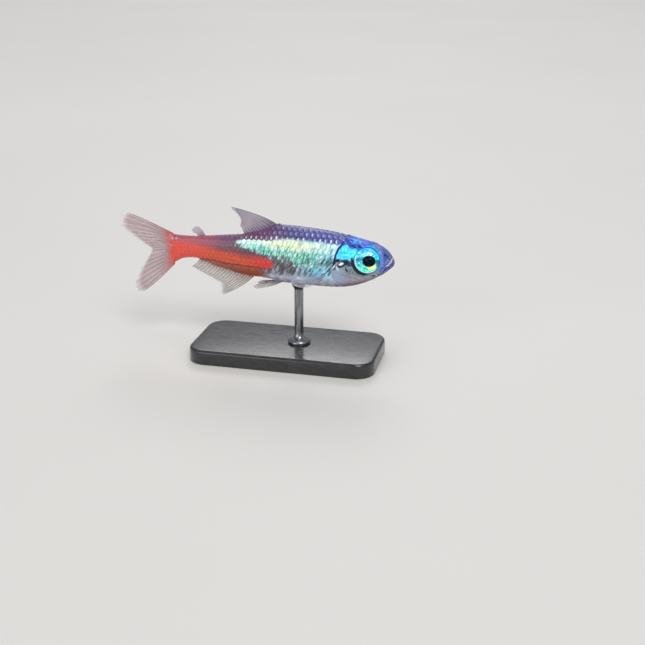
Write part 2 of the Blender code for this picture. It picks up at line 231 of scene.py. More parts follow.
class NodeBench:
    # short calls that place a shader node and join it to others
    def __init__(self, tree):
        self.tree = tree

    def node(self, kind, values=(), **settings):
        made = self.tree.nodes.new("ShaderNode" + kind)
        for name, value in settings.items():
            setattr(made, name, value)
        self.feed(made.inputs, dict(values))
        return made

    def add(self, kind, values=(), out=0, **settings):
        return Wire(self, self.node(kind, values, **settings).outputs[out])

    def feed(self, sockets, values):
        for place, value in values.items():
            socket = sockets[place]
            if isinstance(value, Wire):
                self.tree.links.new(value.socket, socket)
            else:
                socket.default_value = (*value, 1) if socket.type == "RGBA" else value

    def maths(self, operation, *values):
        return self.add("Math", enumerate(values), operation=operation)

    def most(self, one, other):
        return self.maths("MAXIMUM", one, other)

    def vector(self, operation, *values):
        return self.add("VectorMath", enumerate(values), operation=operation)

    def length(self, vector):
        return self.add("VectorMath", {0: vector}, 1, operation="LENGTH")

    def split(self, vector):
        return [Wire(self, socket) for socket in self.node("SeparateXYZ", {0: vector}).outputs]

    def join(self, x, y, z=0.0):
        return self.add("CombineXYZ", {0: x, 1: y, 2: z})

    def field(self, name):
        # what a mesh says about each of its points
        return self.add("Attribute", out="Vector", attribute_name=name)

    def mix(self, share, one, other, way="MIX"):
        return self.add("Mix", {0: share, 6: one, 7: other}, 2, data_type="RGBA", blend_type=way)

    def layers(self, colour, *coats):
        # each coat is a share and the colour that it lays over the ones before
        for share, over in coats:
            colour = self.mix(share, colour, over)
        return colour

    def noise(self, place, scale, detail=2.0, distortion=0.0):
        values = {"Vector": place, "Scale": scale, "Detail": detail, "Distortion": distortion}
        return self.add("TexNoise", values)

    def curve(self, value, points):
        made = self.node("FloatCurve", {0: 1.0, 1: value})
        made.mapping.use_clip = False
        line = made.mapping.curves[0]
        while len(line.points) < len(points):
            line.points.new(0.5, 0.0)
        for handle, place in zip(line.points, sorted(points)):
            handle.location = place
            handle.handle_type = "AUTO_CLAMPED"
        made.mapping.update()
        return Wire(self, made.outputs[0])

    def ramp(self, value, stops):
        made = self.node("ValToRGB", {0: value})
        elements = made.color_ramp.elements
        while len(elements) < len(stops):
            elements.new(0.5)
        for element, (place, colour) in zip(elements, stops):
            element.position = place
            element.color = (*colour, 1)
        return Wire(self, made.outputs[0])

    def slanted(self, place, lean, scale):
        # strokes of this scale that lean forward at the top by an angle
        values = {"Vector": place, "Rotation": (0, math.radians(lean), 0), "Scale": scale}
        return self.add("Mapping", values, vector_type="TEXTURE")

    def spot(self, place, centre, radii, lean=0.0, soft=0.35):
        # 1 inside an ellipse on the flank, given as (along, height), leaning forward at the top
        values = {
            "Vector": place,
            "Location": (centre[0], 0.0, centre[1]),
            "Rotation": (0.0, -math.radians(lean), 0.0),
            "Scale": (radii[0], 1000.0, radii[1]),
        }
        return self.length(self.add("Mapping", values, vector_type="TEXTURE")).fade(1 + soft, 1 - soft)

    def relief(self, height, strength, distance):
        return self.add("Bump", {"Strength": strength, "Distance": distance, "Height": height})


def newGroup(name, inputs, outputs):
    # a node group with named sockets: its bench, what it is given, and where its results go
    tree = bpy.data.node_groups.new(name, "ShaderNodeTree")
    for way, sockets in (("INPUT", inputs), ("OUTPUT", outputs)):
        for socket, kind in sockets.items():
            tree.interface.new_socket(socket, in_out=way, socket_type="NodeSocket" + kind)
    bench = NodeBench(tree)
    source = tree.nodes.new("NodeGroupInput").outputs
    given = {socket: Wire(bench, source[socket]) for socket in inputs}
    return bench, given, tree.nodes.new("NodeGroupOutput").inputs


def useGroup(bench, group, values):
    # a group placed in a material; its results come back by name
    placed = bench.tree.nodes.new("ShaderNodeGroup")
    placed.node_tree = group
    bench.feed(placed.inputs, values)
    return {socket.name: Wire(bench, socket) for socket in placed.outputs}


def newMaterial(name, **constants):
    # the shader with its plain values, and a bench to wire the rest
    material = bpy.data.materials.new(name)
    material.use_nodes = True
    bench = NodeBench(material.node_tree)
    shader = material.node_tree.nodes["Principled BSDF"].inputs
    bench.feed(shader, {socket.replace("_", " "): value for socket, value in constants.items()})
    return material, bench, shader


def objectPlace(bench):
    return bench.add("TexCoord", out="Object")


# markings of the skin and the coat

gill = {
    "hind": (0.258, -0.3),  # hindmost point of the cover, as along and share of the section's height
    "nape": 0.0575,
    "throat": 0.055,
    "rise": 0.12 * mm,
    "rim": 0.05,
}


def gillEdge(turn):
    hind, level = gill["hind"]
    up = np.sin(turn) - level
    nape, throat = gill["nape"] * (up / (1 - level)) ** 2, gill["throat"] * (up / (1 + level)) ** 2
    return hind - np.where(up > 0, nape, throat)


markings = {
    # edges of the stripe, the band and the belly, as (along, height)
    "neonTop": (
        (0.18, 0.080), (0.2475, 0.085), (0.3125, 0.088), (0.40, 0.090), (0.488, 0.089),
        (0.558, 0.081), (0.628, 0.072), (0.686, 0.059), (0.705, 0.047), (0.73, 0.02),
    ),
    "neonBottom": (
        (0.18, -0.01), (0.25, -0.022), (0.331, -0.026), (0.396, -0.033), (0.416, -0.025), (0.440, 0.001),
        (0.50, 0.004), (0.55, 0.009), (0.60, 0.021), (0.646, 0.034), (0.69, 0.046), (0.71, 0.055),
    ),
    "redTop": ((0.50, -0.012), (0.541, 0.003), (0.623, 0.013), (0.746, 0.031), (0.888, 0.048), (1.0, 0.062)),
    "redBottom": (
        (0.50, -0.036), (0.561, -0.052), (0.626, -0.047), (0.716, -0.047),
        (0.820, -0.038), (0.893, -0.040), (0.93, -0.06), (1.0, -0.09),
    ),
    "bellyTop": ((0.20, -0.055), (0.30, -0.068), (0.42, -0.074), (0.54, -0.082), (0.60, -0.092)),
    "keelAlongs": (0.01, 0.03, 0.06, 0.10, 0.17, 0.26, 0.38, 0.50, 0.57, 0.64, 0.77, 0.90, 1.0),
    "tailDots": (((0.972, 0.047), 0.0045), ((0.992, 0.044), 0.0055), ((0.998, 0.014), 0.0045)),
    "wobble": 0.014,
    "backFront": paint(72, 86, 180),
    "backMiddle": paint(88, 82, 148),
    "backRear": paint(112, 72, 108),
    "backTail": paint(182, 84, 104),
    "backCrownHighlight": paint(184, 188, 240),
    "rearCrownHighlight": paint(184, 140, 172),
    "backRim": paint(28, 26, 84),
    "rearRim": paint(72, 38, 66),
    "flankDark": paint(38, 40, 52),
    "flankFront": paint(142, 164, 186),
    "flank": paint(116, 110, 120),
    "flankLight": paint(204, 222, 232),
    "belly": paint(204, 208, 232),
    "bellyWhite": paint(252, 252, 255),
    "keelShade": paint(150, 146, 164),
    "bellyBlue": paint(136, 224, 250),
    "wedge": paint(92, 46, 68),
    "redFront": paint(224, 38, 38),
    "redMiddle": paint(212, 66, 22),
    "redRear": paint(236, 64, 52),
    "redLight": paint(244, 118, 66),
    "redShade": paint(118, 46, 62),
    "redPink": paint(166, 66, 84),
    "redDark": paint(120, 22, 26),
    "rearBelly": paint(176, 76, 32),
    "tailRoot": paint(206, 112, 106),
    "neonLow": paint(92, 196, 180),
    "neonMiddle": paint(150, 236, 208),
    "neonHigh": paint(198, 244, 230),
    "neonYellowHighlight": paint(250, 250, 188),
    "neonWhiteHighlight": paint(248, 253, 255),
    "neonBlue": paint(120, 206, 246),
    "neonGap": paint(30, 104, 108),
}


def markingsGroup():
    # Colour, finish and a painted glow by the place on the fish. Place and Root are (along, sideways, height)
    # in shares of the length, for the point itself and for its scale's root. Grain is the point in
    # millimetres, Rim is 1 at a scale's hind edge, and Crown 1 on the middle of what shows of it.
    bench, given, out = newGroup(
        "tetraMarkings",
        {
            "Place": "Vector", "Root": "Vector", "Grain": "Vector",
            "Random": "Float", "Rim": "Float", "Crown": "Float", "Bare": "Float",
        },
        {"Colour": "Color", "Glow": "Color", "Metal": "Float", "Rough": "Float", "Relief": "Float"},
    )
    m, grain = markings, given["Grain"]
    # edges waver a little with the place, and the neon's follow the scales
    wobble = bench.add("TexNoise", {"Vector": grain, "Scale": 1.1, "Detail": 3.0}, out=1)
    wobble = bench.vector("SUBTRACT", wobble, (0.5, 0.5, 0.5))
    wobble = bench.vector("MULTIPLY", wobble, (m["wobble"], 0.0, m["wobble"]))
    place = bench.vector("ADD", given["Place"], wobble)
    along, _, height = bench.split(place)
    ragged = bench.add("Mix", {0: 0.62, 4: place, 5: given["Root"]}, data_type="VECTOR", out=1)
    neonAlong, _, neonHeight = bench.split(ragged)
    rim, crown = given["Rim"], given["Crown"]

    # fine strokes that stand on the flank and lean forward at the top
    fine = bench.noise(bench.slanted(grain, 24, (0.26, 1.5, 0.95)), 1.0, 2.5, 0.3)
    hatch = bench.noise(bench.slanted(grain, 32, (0.22, 2.4, 1.15)), 1.0, 2.0, 0.3)
    hatchDark = hatch.fade(0.50, 0.40)
    hatchLight = hatch.fade(0.50, 0.62)
    speckle = bench.noise(grain, 6.0)
    clouds = bench.noise(grain, 0.8, 3.0)

    neonTop, neonBottom = (bench.curve(neonAlong, m[name]) for name in ("neonTop", "neonBottom"))
    redTop, redBottom = bench.curve(along, m["redTop"]), bench.curve(along, m["redBottom"])
    bellyTop = bench.curve(along, m["bellyTop"])

    # back: painted highlights, light lens shapes on the scales' middles, in a dark net of scale rims that is
    # partly painted shade
    rear = along.fade(0.42, 0.60)
    back = bench.layers(
        m["backFront"],
        (along.fade(0.28, 0.46), m["backMiddle"]),
        (rear, m["backRear"]),
        ((height - redTop).fade(0.030, 0.004, 0.0, 0.6), m["wedge"]),
        (along.fade(0.70, 0.90), m["backTail"]),
    )
    # lens is the painted highlight on the middle of what shows of each scale
    lens = crown * fine.fade(0.40, 0.58, 0.10, 1.0) * given["Random"].fade(0.0, 1.0, 1.0, 0.35)
    back = bench.layers(
        back,
        (lens * along.fade(0.76, 0.5, 0.15, 0.85), bench.mix(rear, m["backCrownHighlight"], m["rearCrownHighlight"])),
        (rim * along.fade(0.80, 0.5, 0.35, 0.9), bench.mix(rear, m["backRim"], m["rearRim"])),
    )
    # pale tips, painted highlights on the scales' middles, that stand up out of the stripe's top edge
    above = neonHeight - neonTop
    tip = above.fade(0.017, 0.004) * (crown * fine.fade(0.40, 0.54)) * neonAlong.fade(0.70, 0.66, 0.0, 0.8)
    back = bench.mix(tip, back, m["bellyWhite"])

    # the clear flank under the neon stripe with its dark hatching, then the silvery belly
    flank = bench.layers(
        m["flankFront"],
        (along.fade(0.37, 0.45), m["flank"]),
        (hatchLight * along.fade(0.36, 0.44, 0.9, 0.5), m["flankLight"]),
        # painted shade on the flank under the neon stripe, from along 0.42 back, darker up toward the stripe
        (height.fade(-0.050, -0.012, 0.0, 0.5) * along.fade(0.42, 0.48), m["flankDark"]),
        (hatchDark * height.fade(-0.085, -0.04, 0.3, 0.75), m["flankDark"]),
    )
    belly = bench.layers(
        m["belly"],
        (clouds.fade(0.45, 0.60), m["bellyWhite"]),
        (bench.spot(place, (0.335, -0.066), (0.065, 0.022), 0, 0.8) * 0.8, m["bellyBlue"]),
    )
    blueFlank = bench.spot(place, (0.30, -0.045), (0.060, 0.030), 20, 0.8)
    flank = bench.mix(blueFlank * hatch.fade(0.38, 0.54), flank, m["bellyBlue"])
    toBelly = (bellyTop - height).fade(-0.014, 0.012)
    colour = bench.mix(toBelly, flank, belly)

    # clear reddish flesh behind the vent, and the dark wedge between stripe and band
    rearBelly = bench.layers(
        m["rearBelly"],
        (clouds.fade(0.4, 0.6, 0.0, 0.25), m["flank"]),
        (hatchDark * 0.35, m["redDark"]),
    )
    colour = bench.mix(along.fade(0.53, 0.60), colour, rearBelly)
    wedge = bench.layers(
        flank,
        (along.fade(0.50, 0.60), m["wedge"]),
        (along.fade(0.68, 0.80), back),
        # painted highlight on the scales' middles
        (crown * 0.2, m["rearCrownHighlight"]),
    )
    aboveBand = (height - redTop).fade(-0.020, -0.005)
    colour = bench.mix(aboveBand * along.fade(0.50, 0.56), colour, wedge)
    overTop = above.fade(-0.003, 0.003)
    toBack = bench.most(overTop, along.fade(0.69, 0.74)) * bench.most(aboveBand, along.fade(0.5, 0.45))
    colour = bench.mix(toBack, colour, back)

    # red band, purple along its top and dark along its lower edge
    red = bench.layers(
        m["redFront"],
        (along.fade(0.56, 0.66), m["redMiddle"]),
        (along.fade(0.76, 0.88), m["redRear"]),
        (speckle.fade(0.45, 0.65) * along.fade(0.53, 0.64, 0.10, 0.35), m["redLight"]),
        # painted highlights on the scales' middles, and dark rims that are partly painted shade
        (crown * 0.18, m["redLight"]),
        (rim * 0.22, m["redDark"]),
    )
    fromTop = redTop - height
    topColour = bench.mix(along.fade(0.74, 0.90), m["redShade"], m["redPink"])
    red = bench.mix(fromTop.fade(0.041, 0.005) * along.fade(0.56, 0.66, 0.2, 0.92), red, topColour)
    fromBottom = height - redBottom
    darkLine = abs(fromBottom).fade(0.006, 0.001) * along.fade(0.92, 0.86)
    roundEnd = along - abs(height + 0.027) * 0.7
    inBand = fromTop.fade(-0.003, 0.014) * fromBottom.fade(-0.005, 0.006) * roundEnd.fade(0.502, 0.526)
    colour = bench.layers(
        colour,
        (inBand, red),
        (darkLine * along.fade(0.53, 0.57, 0.0, 0.85), m["redDark"]),
    )
    # the red ends in a ragged line on the tail's root, with a few pale dots
    toFin = (along + (clouds - 0.5) * 0.05).fade(0.990, 1.012)
    colour = bench.mix(toFin, colour, m["tailRoot"])
    for centre, size in m["tailDots"]:
        colour = bench.mix(bench.spot(place, centre, (size, size), 0, 0.7) * 0.6, colour, m["belly"])

    # neon stripe, by the share of its height from the bottom edge
    overBottom = neonHeight - neonBottom
    share = overBottom / bench.most(neonTop - neonBottom, 0.004)
    stops = ((0.05, "neonLow"), (0.42, "neonMiddle"), (0.70, "neonHigh"), (0.98, "neonHigh"))
    # the broad yellow spot and the fine white strokes are painted highlights on the stripe
    neon = bench.layers(
        bench.ramp(share, [(stop, m[name]) for stop, name in stops]),
        (bench.spot(place, (0.445, 0.064), (0.110, 0.019), 0, 0.6) * 0.7, m["neonYellowHighlight"]),
        (along.fade(0.37, 0.25) * share.fade(0.9, 0.3, 0.25, 0.85), m["neonBlue"]),
        (fine.fade(0.51, 0.63) * 0.75, m["neonWhiteHighlight"]),
    )
    # dark gaps between its strokes, at the scales' rims, where they are partly painted shade, and at its
    # front
    gap = fine.fade(0.48, 0.36) * share.fade(1.0, 0.2, 0.45, 1.0)
    gap = bench.most(gap, rim * share.fade(1.0, 0.3, 0.15, 0.5))
    darkFront = bench.spot(place, (0.284, 0.000), (0.034, 0.022), 0, 0.5) * hatch.fade(0.62, 0.46)
    # painted highlights on the scales' middles along the stripe's top
    tips = share.fade(0.78, 0.92) * bench.most(along.fade(0.50, 0.58), along.fade(0.34, 0.30))
    neon = bench.layers(
        neon,
        (bench.most(gap, darkFront), m["neonGap"]),
        (tips * crown.fade(0.2, 0.7), m["neonWhiteHighlight"]),
    )
    lowEdge = overBottom + (fine - 0.5) * along.fade(0.60, 0.36, 0.03, 0.14)
    inNeon = lowEdge.fade(-0.005, 0.006) * (1.0 - overTop) * neonAlong.fade(0.708, 0.694)
    colour = bench.mix(inNeon, colour, neon)
    metal = inNeon * fine.fade(0.42, 0.58, 0.10, 0.35)
    metal = bench.most(metal, toBelly * along.fade(0.58, 0.5, 0.0, 0.2))
    # the neon stripe glows, a painted light, more toward its top
    glow = inNeon * share.fade(0.0, 0.6, 0.5, 1.0)

    # some scales a little darker, then the head, and a painted shade toward the keel, where the underside is
    # in shadow
    tint = given["Random"].fade(0.0, 1.0, 0.0, 0.25)
    colour = bench.mix(tint, colour, bench.mix(1.0, colour, (0.62, 0.62, 0.70), "MULTIPLY"))
    inHead, skin, bright = headColours(bench, place, grain, given["Bare"])
    colour = bench.mix(inHead, colour, skin)
    keelPoints = [(a, -float(bellyDepth(math.sqrt(a)))) for a in m["keelAlongs"]]
    keelShare = height / bench.curve(along, keelPoints)
    nearKeel = keelShare.fade(0.68, 0.92, 0.0, 0.7) * along.fade(0.62, 0.50)
    colour = bench.mix(nearKeel, colour, bench.mix(1.0, colour, m["keelShade"], "MULTIPLY"))
    glow = bench.mix(inHead, glow, bright)

    bench.feed(out, {
        "Colour": colour,
        "Glow": bench.mix(glow, (0, 0, 0), colour),
        "Metal": bench.mix(inHead, metal, bright * 0.35),
        "Rough": speckle.fade(0.3, 0.7, 0.24, 0.42),
        "Relief": fine * 0.6 + speckle * 0.5,
    })
    return bench.tree


head = {
    "snout": paint(82, 88, 160),
    "snoutBlue": paint(38, 96, 190),
    "snoutLight": paint(160, 170, 218),
    "snoutDark": paint(36, 40, 104),
    "crown": paint(14, 46, 194),
    "crownViolet": paint(76, 86, 216),
    "crownStreak": paint(52, 170, 255),
    "cheek": paint(130, 138, 148),
    "cheekGreen": paint(132, 196, 192),
    "cheekDark": paint(66, 70, 80),
    "coverHind": paint(158, 174, 206),
    "throat": paint(158, 150, 164),
    "throatWhite": paint(214, 210, 224),
    "cover": paint(28, 208, 250),
    "coverPaleHighlight": paint(128, 252, 255),
    "coverBlue": paint(30, 124, 240),
    "rim": paint(16, 28, 110),
    "black": paint(3, 14, 44),
    "white": paint(240, 255, 252),
    "silver": paint(208, 230, 244),
    "recessShade": paint(34, 34, 78),
    "shade": paint(30, 46, 92),
    # the bright plate of the cover: middles and radii of the ovals that make it up
    "plate": (
        ((0.173, 0.042), (0.030, 0.028)), ((0.207, 0.044), (0.031, 0.026)),
        ((0.202, 0.062), (0.021, 0.019)), ((0.221, 0.036), (0.018, 0.018)),
    ),
    # small marks: colour, middle, radii, and the angle by which each leans forward at the top
    "marks": (
        ("black", (0.231, 0.013), (0.010, 0.008), 0),
        ("black", (0.216, -0.003), (0.019, 0.012), -30),
        ("shade", (0.196, 0.006), (0.024, 0.014), 20),
        ("black", (0.196, 0.010), (0.010, 0.006), 30),
        ("black", (0.194, -0.0265), (0.0038, 0.012), -20),
        # a white painted glint among the black marks low on the cover
        ("white", (0.216, 0.001), (0.010, 0.0048), -25),
        ("rim", (0.172, 0.014), (0.0055, 0.014), 0),
        ("silver", (0.249, -0.014), (0.0036, 0.015), 30),
        ("silver", (0.233, -0.021), (0.0034, 0.011), -30),
        ("white", (0.2158, 0.1005), (0.006, 0.005), 0),
        # two cyan painted glints at the top of the crown
        ("crownStreak", (0.163, 0.0935), (0.008, 0.0030), 0),
        ("crownStreak", (0.142, 0.0875), (0.007, 0.0028), 0),
        ("crownViolet", (0.122, 0.080), (0.011, 0.005), 10),
        ("rim", (0.142, 0.078), (0.012, 0.007), 30),
        ("rim", (0.170, 0.078), (0.016, 0.005), 25),
        ("rim", (0.196, 0.094), (0.016, 0.004), 25),
        ("snoutBlue", (0.049, 0.041), (0.012, 0.009), 0),
        # pale strokes at the snout's tip, painted highlights on the lips
        ("silver", (0.013, 0.008), (0.0022, 0.010), 55),
        ("silver", (0.008, 0.020), (0.0022, 0.009), 50),
        ("silver", (0.024, -0.004), (0.0020, 0.008), 60),
        ("silver", (0.071, -0.066), (0.009, 0.003), 0),
        ("black", (0.080, -0.0505), (0.0085, 0.0050), 15),
        ("black", (0.061, -0.0455), (0.0055, 0.0032), 15),
        ("silver", (0.070, -0.0470), (0.0035, 0.0030), 0),
    ),
}


def headColours(bench, place, grain, bare):
    # the bare head: where it is, its colour, and how much of it glows, a painted light, and shines
    h = head
    along, sideways, height = bench.split(place)
    edgePoints = []
    for turn in np.linspace(-math.pi / 2, math.pi / 2, 11):
        edge = float(gillEdge(turn))
        edgePoints.append((float(heightOf(bodyPoint(edge, turn))), edge))
    behind = along - bench.curve(height, edgePoints)
    inHead = behind.fade(0.0015, -0.0015) * bare
    streak = bench.noise(bench.vector("MULTIPLY", grain, (1.0, 1.0, 2.2)), 1.5, 2.5, 1.0)
    fineStreak = bench.noise(bench.vector("MULTIPLY", grain, (1.0, 1.4, 2.6)), 2.6, 3.0, 1.4)
    blotch = bench.noise(bench.vector("ADD", grain, (7.0, 3.0, 5.0)), 1.8, 2.0, 0.6)
    speck = bench.noise(grain, 5.2, 3.0, 0.2)
    scratch = bench.noise(bench.vector("MULTIPLY", grain, (1.8, 1.0, 1.0)), 3.4, 3.0, 0.5)

    # crown: dark blue with violet blotches and cyan streaks of painted highlight
    crown = bench.layers(
        h["crown"],
        (blotch.fade(0.50, 0.64, 0.0, 0.8), h["crownViolet"]),
        (speck.fade(0.46, 0.34, 0.0, 0.8), h["rim"]),
    )
    offMiddle = abs(sideways).fade(0.004, 0.024, 0.7, 1.0)
    shine = fineStreak.fade(0.47, 0.66) * along.fade(0.05, 0.13, 0.1, 0.9) * offMiddle
    crown = bench.mix(shine, crown, h["crownStreak"])
    # snout: violet, finely speckled light and dark
    snout = bench.layers(
        h["snout"],
        (blotch.fade(0.36, 0.54, 0.3, 1.0) * along.fade(0.020, 0.042), h["snoutBlue"]),
        (scratch.fade(0.50, 0.66, 0.0, 0.9), h["snoutLight"]),
        (speck.fade(0.50, 0.34, 0.0, 0.9), h["snoutDark"]),
    )
    # cheek and throat, the throat painted a little darker for the shade under the head
    cheek = bench.layers(
        h["cheek"],
        (speck.fade(0.46, 0.66, 0.0, 0.8), h["cheekGreen"]),
        (scratch.fade(0.50, 0.32, 0.0, 0.8), h["cheekDark"]),
    )
    throat = bench.layers(
        h["throat"],
        (speck.fade(0.45, 0.75, 0.0, 0.6), h["throatWhite"]),
        (scratch.fade(0.44, 0.30, 0.0, 0.4), h["cheekDark"]),
    )

    skin = bench.layers(
        throat,
        ((height + along * 0.10).fade(-0.055, -0.020), cheek),
        (along.fade(0.180, 0.240) * speck.fade(0.62, 0.42, 0.5, 1.0), h["coverHind"]),
        ((height + along * 0.15).fade(0.045, 0.075), crown),
        ((along - height * 0.35).fade(0.088, 0.052), snout),
    )

    # the bright plate of the gill cover
    plate, *others = (bench.spot(place, centre, radii, 0, 0.22) for centre, radii in h["plate"])
    for other in others:
        plate = bench.most(plate, other)
    plate = plate * behind.fade(-0.004, -0.010)
    # the plate's pale streaks are painted highlights
    plateColour = bench.layers(
        h["cover"],
        (fineStreak.fade(0.47, 0.60, 0.0, 0.9), h["coverPaleHighlight"]),
        (streak.fade(0.42, 0.34, 0.0, 0.7), h["coverBlue"]),
    )
    skin = bench.mix(plate, skin, plateColour)

    # dark rim of the cover, black lower down
    rimColour = bench.mix(height.fade(0.035, 0.012), h["rim"], h["black"])
    wider = bench.maths("MULTIPLY_ADD", height.fade(0.030, 0.005), 0.007, behind)
    onRim = wider.fade(-0.013, -0.006) * height.fade(-0.040, -0.018)
    skin = bench.mix(onRim, skin, rimColour)

    for name, centre, radii, lean in h["marks"]:
        skin = bench.mix(bench.spot(place, centre, radii, lean, 0.36), skin, h[name])
    # painted shade in the nostril pits
    for pitAlong, pitHeight, radius in nostrils:
        size = 0.8 * radius / fish["length"]
        dark = bench.spot(place, (pitAlong, pitHeight), (size, size), 0, 0.5)
        skin = bench.mix(dark * 0.75, skin, h["recessShade"])
    # the line of the mouth, painted shade in its slit
    cornerAlong, cornerHeight = mouth["corner"]
    fromLine = height - along * (cornerHeight / cornerAlong)
    slit = abs(fromLine).fade(0.0034, 0.0012, 0.0, 0.8) * along.fade(cornerAlong + 0.002, cornerAlong - 0.006)
    skin = bench.mix(slit, skin, h["recessShade"])

    # dark line behind and below the eye, a painted shadow under the eye's rim, and a pale one in front of it
    fromEye = bench.vector("SUBTRACT", place, (eyePlace["along"], 0.0, eyePlace["height"]))
    fromEye = bench.vector("MULTIPLY", fromEye, (1.0, 0.0, 1.0))
    away = bench.length(fromEye)
    x, _, z = bench.split(fromEye)
    lowAway = bench.length(bench.vector("SUBTRACT", fromEye, (0.003, 0.0, -0.006)))
    shadowCrescent = lowAway.fade(0.0655, 0.0610) * x.fade(-0.020, 0.012) * (x * 0.35 - z).fade(0.0, 0.025)
    paleRing = away.fade(0.072, 0.066) * away.fade(0.054, 0.058) * x.fade(-0.02, -0.045, 0.0, 0.35)
    ring = away.fade(0.0690, 0.0640) * away.fade(0.050, 0.055)
    thinRing = ring * away.fade(0.0600, 0.0575) * (z - x).fade(0.00, 0.04, 0.0, 0.8)
    skin = bench.layers(
        skin,
        (shadowCrescent, h["black"]),
        (paleRing, h["snoutLight"]),
        (thinRing, h["crownStreak"]),
    )

    # the cover plate and the crown's streaks glow, a painted light, and are partly metallic
    bright = bench.most(plate, shine * height.fade(0.05, 0.075, 0.0, 0.5)) * (1.0 - onRim)
    return inHead, skin, bright


mouth = {
    "corner": (0.042, -0.028),
    "lipRise": 0.13 * mm,
    "lipReach": 0.012,
    "slitDepth": 0.30 * mm,
    "slitReach": 0.0042,
}
nostrils = ((0.027, 0.036, 0.13 * mm), (0.037, 0.043, 0.16 * mm))  # along, height, radius
eyePlace = {
    "along": 0.1087,
    "height": 0.019,
    "out": 1.62 * mm,
    "radius": 1.66 * mm,
    "dome": 0.5 * mm,
    "bowl": 1.0 * mm,
    "forward": 7.0,
    "upward": 4.0,
}

markingsTree = markingsGroup()


def fishPlace(bench):
    # the point as (along, sideways, height) shares, and in millimetres
    place = objectPlace(bench)
    scale = 1 / fish["length"]
    start = (fish["snoutX"] * scale, 0.0, -fish["axisHeight"] * scale)
    shares = bench.vector("MULTIPLY_ADD", place, (-scale, scale, scale), start)
    return shares, bench.vector("MULTIPLY", place, (1000.0, 1000.0, 1000.0))


markingRelief = 0.03 * mm  # how deep fine strokes and scale rings are


def wearMarkings(bench, shader, look, relief, strength):
    # what skin and coat take from the markings alike
    bench.feed(shader, {
        "Base Color": look["Colour"],
        "Emission Color": look["Glow"],
        "Metallic": look["Metal"],
        "Roughness": look["Rough"],
        "Normal": bench.relief(relief, strength, markingRelief),
    })


def skinMaterial():
    # the skin gives off the markings' Glow, a painted light
    material, bench, shader = newMaterial(
        "wetSkin",
        Coat_Weight=0.28,
        Coat_Roughness=0.12,
        Specular_IOR_Level=0.35,
        Subsurface_Weight=0.10,
        Subsurface_Scale=0.4 * mm,
        Emission_Strength=0.22,
    )
    shares, grain = fishPlace(bench)
    look = useGroup(bench, markingsTree, {"Place": shares, "Root": shares, "Grain": grain, "Bare": 1.0})
    wearMarkings(bench, shader, look, look["Relief"], 0.5)
    return material


def coatMaterial():
    # the scales give off the markings' Glow, a painted light
    material, bench, shader = newMaterial(
        "scaleCoat", Coat_Weight=0.5, Coat_Roughness=0.10, Emission_Strength=0.12)
    shares, grain = fishPlace(bench)
    rootAlong, random, rootHeight = bench.split(bench.field("scaleRoot"))
    _, sideways, _ = bench.split(shares)
    local = bench.field("scaleLocal")
    back, across, _ = bench.split(local)
    away = bench.length(local)
    # the hind edge is pointed, so the rim follows the sum of the two shares more than their length
    toRim = away * 0.4 + (abs(back) + abs(across)) * 0.5
    crown = bench.vector("SUBTRACT", local, (coat["shownMiddle"], 0.0, 0.0))
    crown = bench.length(bench.vector("DIVIDE", crown, (0.23, 0.72, 1.0)))
    look = useGroup(bench, markingsTree, {
        "Place": shares,
        "Root": bench.join(rootAlong, sideways, rootHeight),
        "Grain": grain,
        "Random": random,
        "Rim": toRim.fade(0.58, 0.84) * back.fade(-0.1, 0.3),
        "Crown": crown.fade(1.0, 0.3),
        "Bare": 0.0,
    })
    # growth rings and fine rays of each scale
    rings = bench.maths("SINE", away * 34.0)
    spokes = bench.maths("SINE", bench.maths("ARCTAN2", across, back + 1.2) * 60.0)
    wearMarkings(bench, shader, look, rings * 0.25 + spokes * 0.2 + look["Relief"], 0.6)
    return material


# skin

skinGrid = {
    "headRings": 150,
    "trunkRings": 130,
    "around": 240,
    "tipIn": 0.1 * mm,  # how far the middle of the mouth lies behind the snout's tip
    "underCover": 0.0006,  # how far the trunk's first rings lie apart, under the cover's rim
    "coverTuck": 0.05 * mm,
    "tuckReach": 0.004,
    "tailEnd": 1.018,  # the skin runs on a little way into the tail fin
    "bladeFrom": 0.985,  # from here on it thins to a blade
    "bladeThinner": 0.88,
    "bladeLower": 0.10,
}


def turnAtHeight(along, height):
    # how far round the upper flank a height is reached
    low, high = 0.0, math.pi / 2
    for _ in range(30):
        middle = (low + high) / 2
        if bodyPoint(along, middle)[2] < at(along, height).z:
            low = middle
        else:
            high = middle
    return low


def eyeFrame(side):
    # the eye's own axes in the fish: x forward, y up, z outward
    forward, upward = math.radians(eyePlace["forward"]), math.radians(eyePlace["upward"])
    outward = Vector((math.sin(forward), side * math.cos(forward), math.tan(upward))).normalized()
    ahead = (Vector((1, 0, 0)) - outward * outward.x).normalized()
    up = outward.cross(ahead) * (1 if outward.cross(ahead).z > 0 else -1)
    centre = at(eyePlace["along"], eyePlace["height"], side * eyePlace["out"])
    return np.array(centre), np.array([ahead, up, outward])


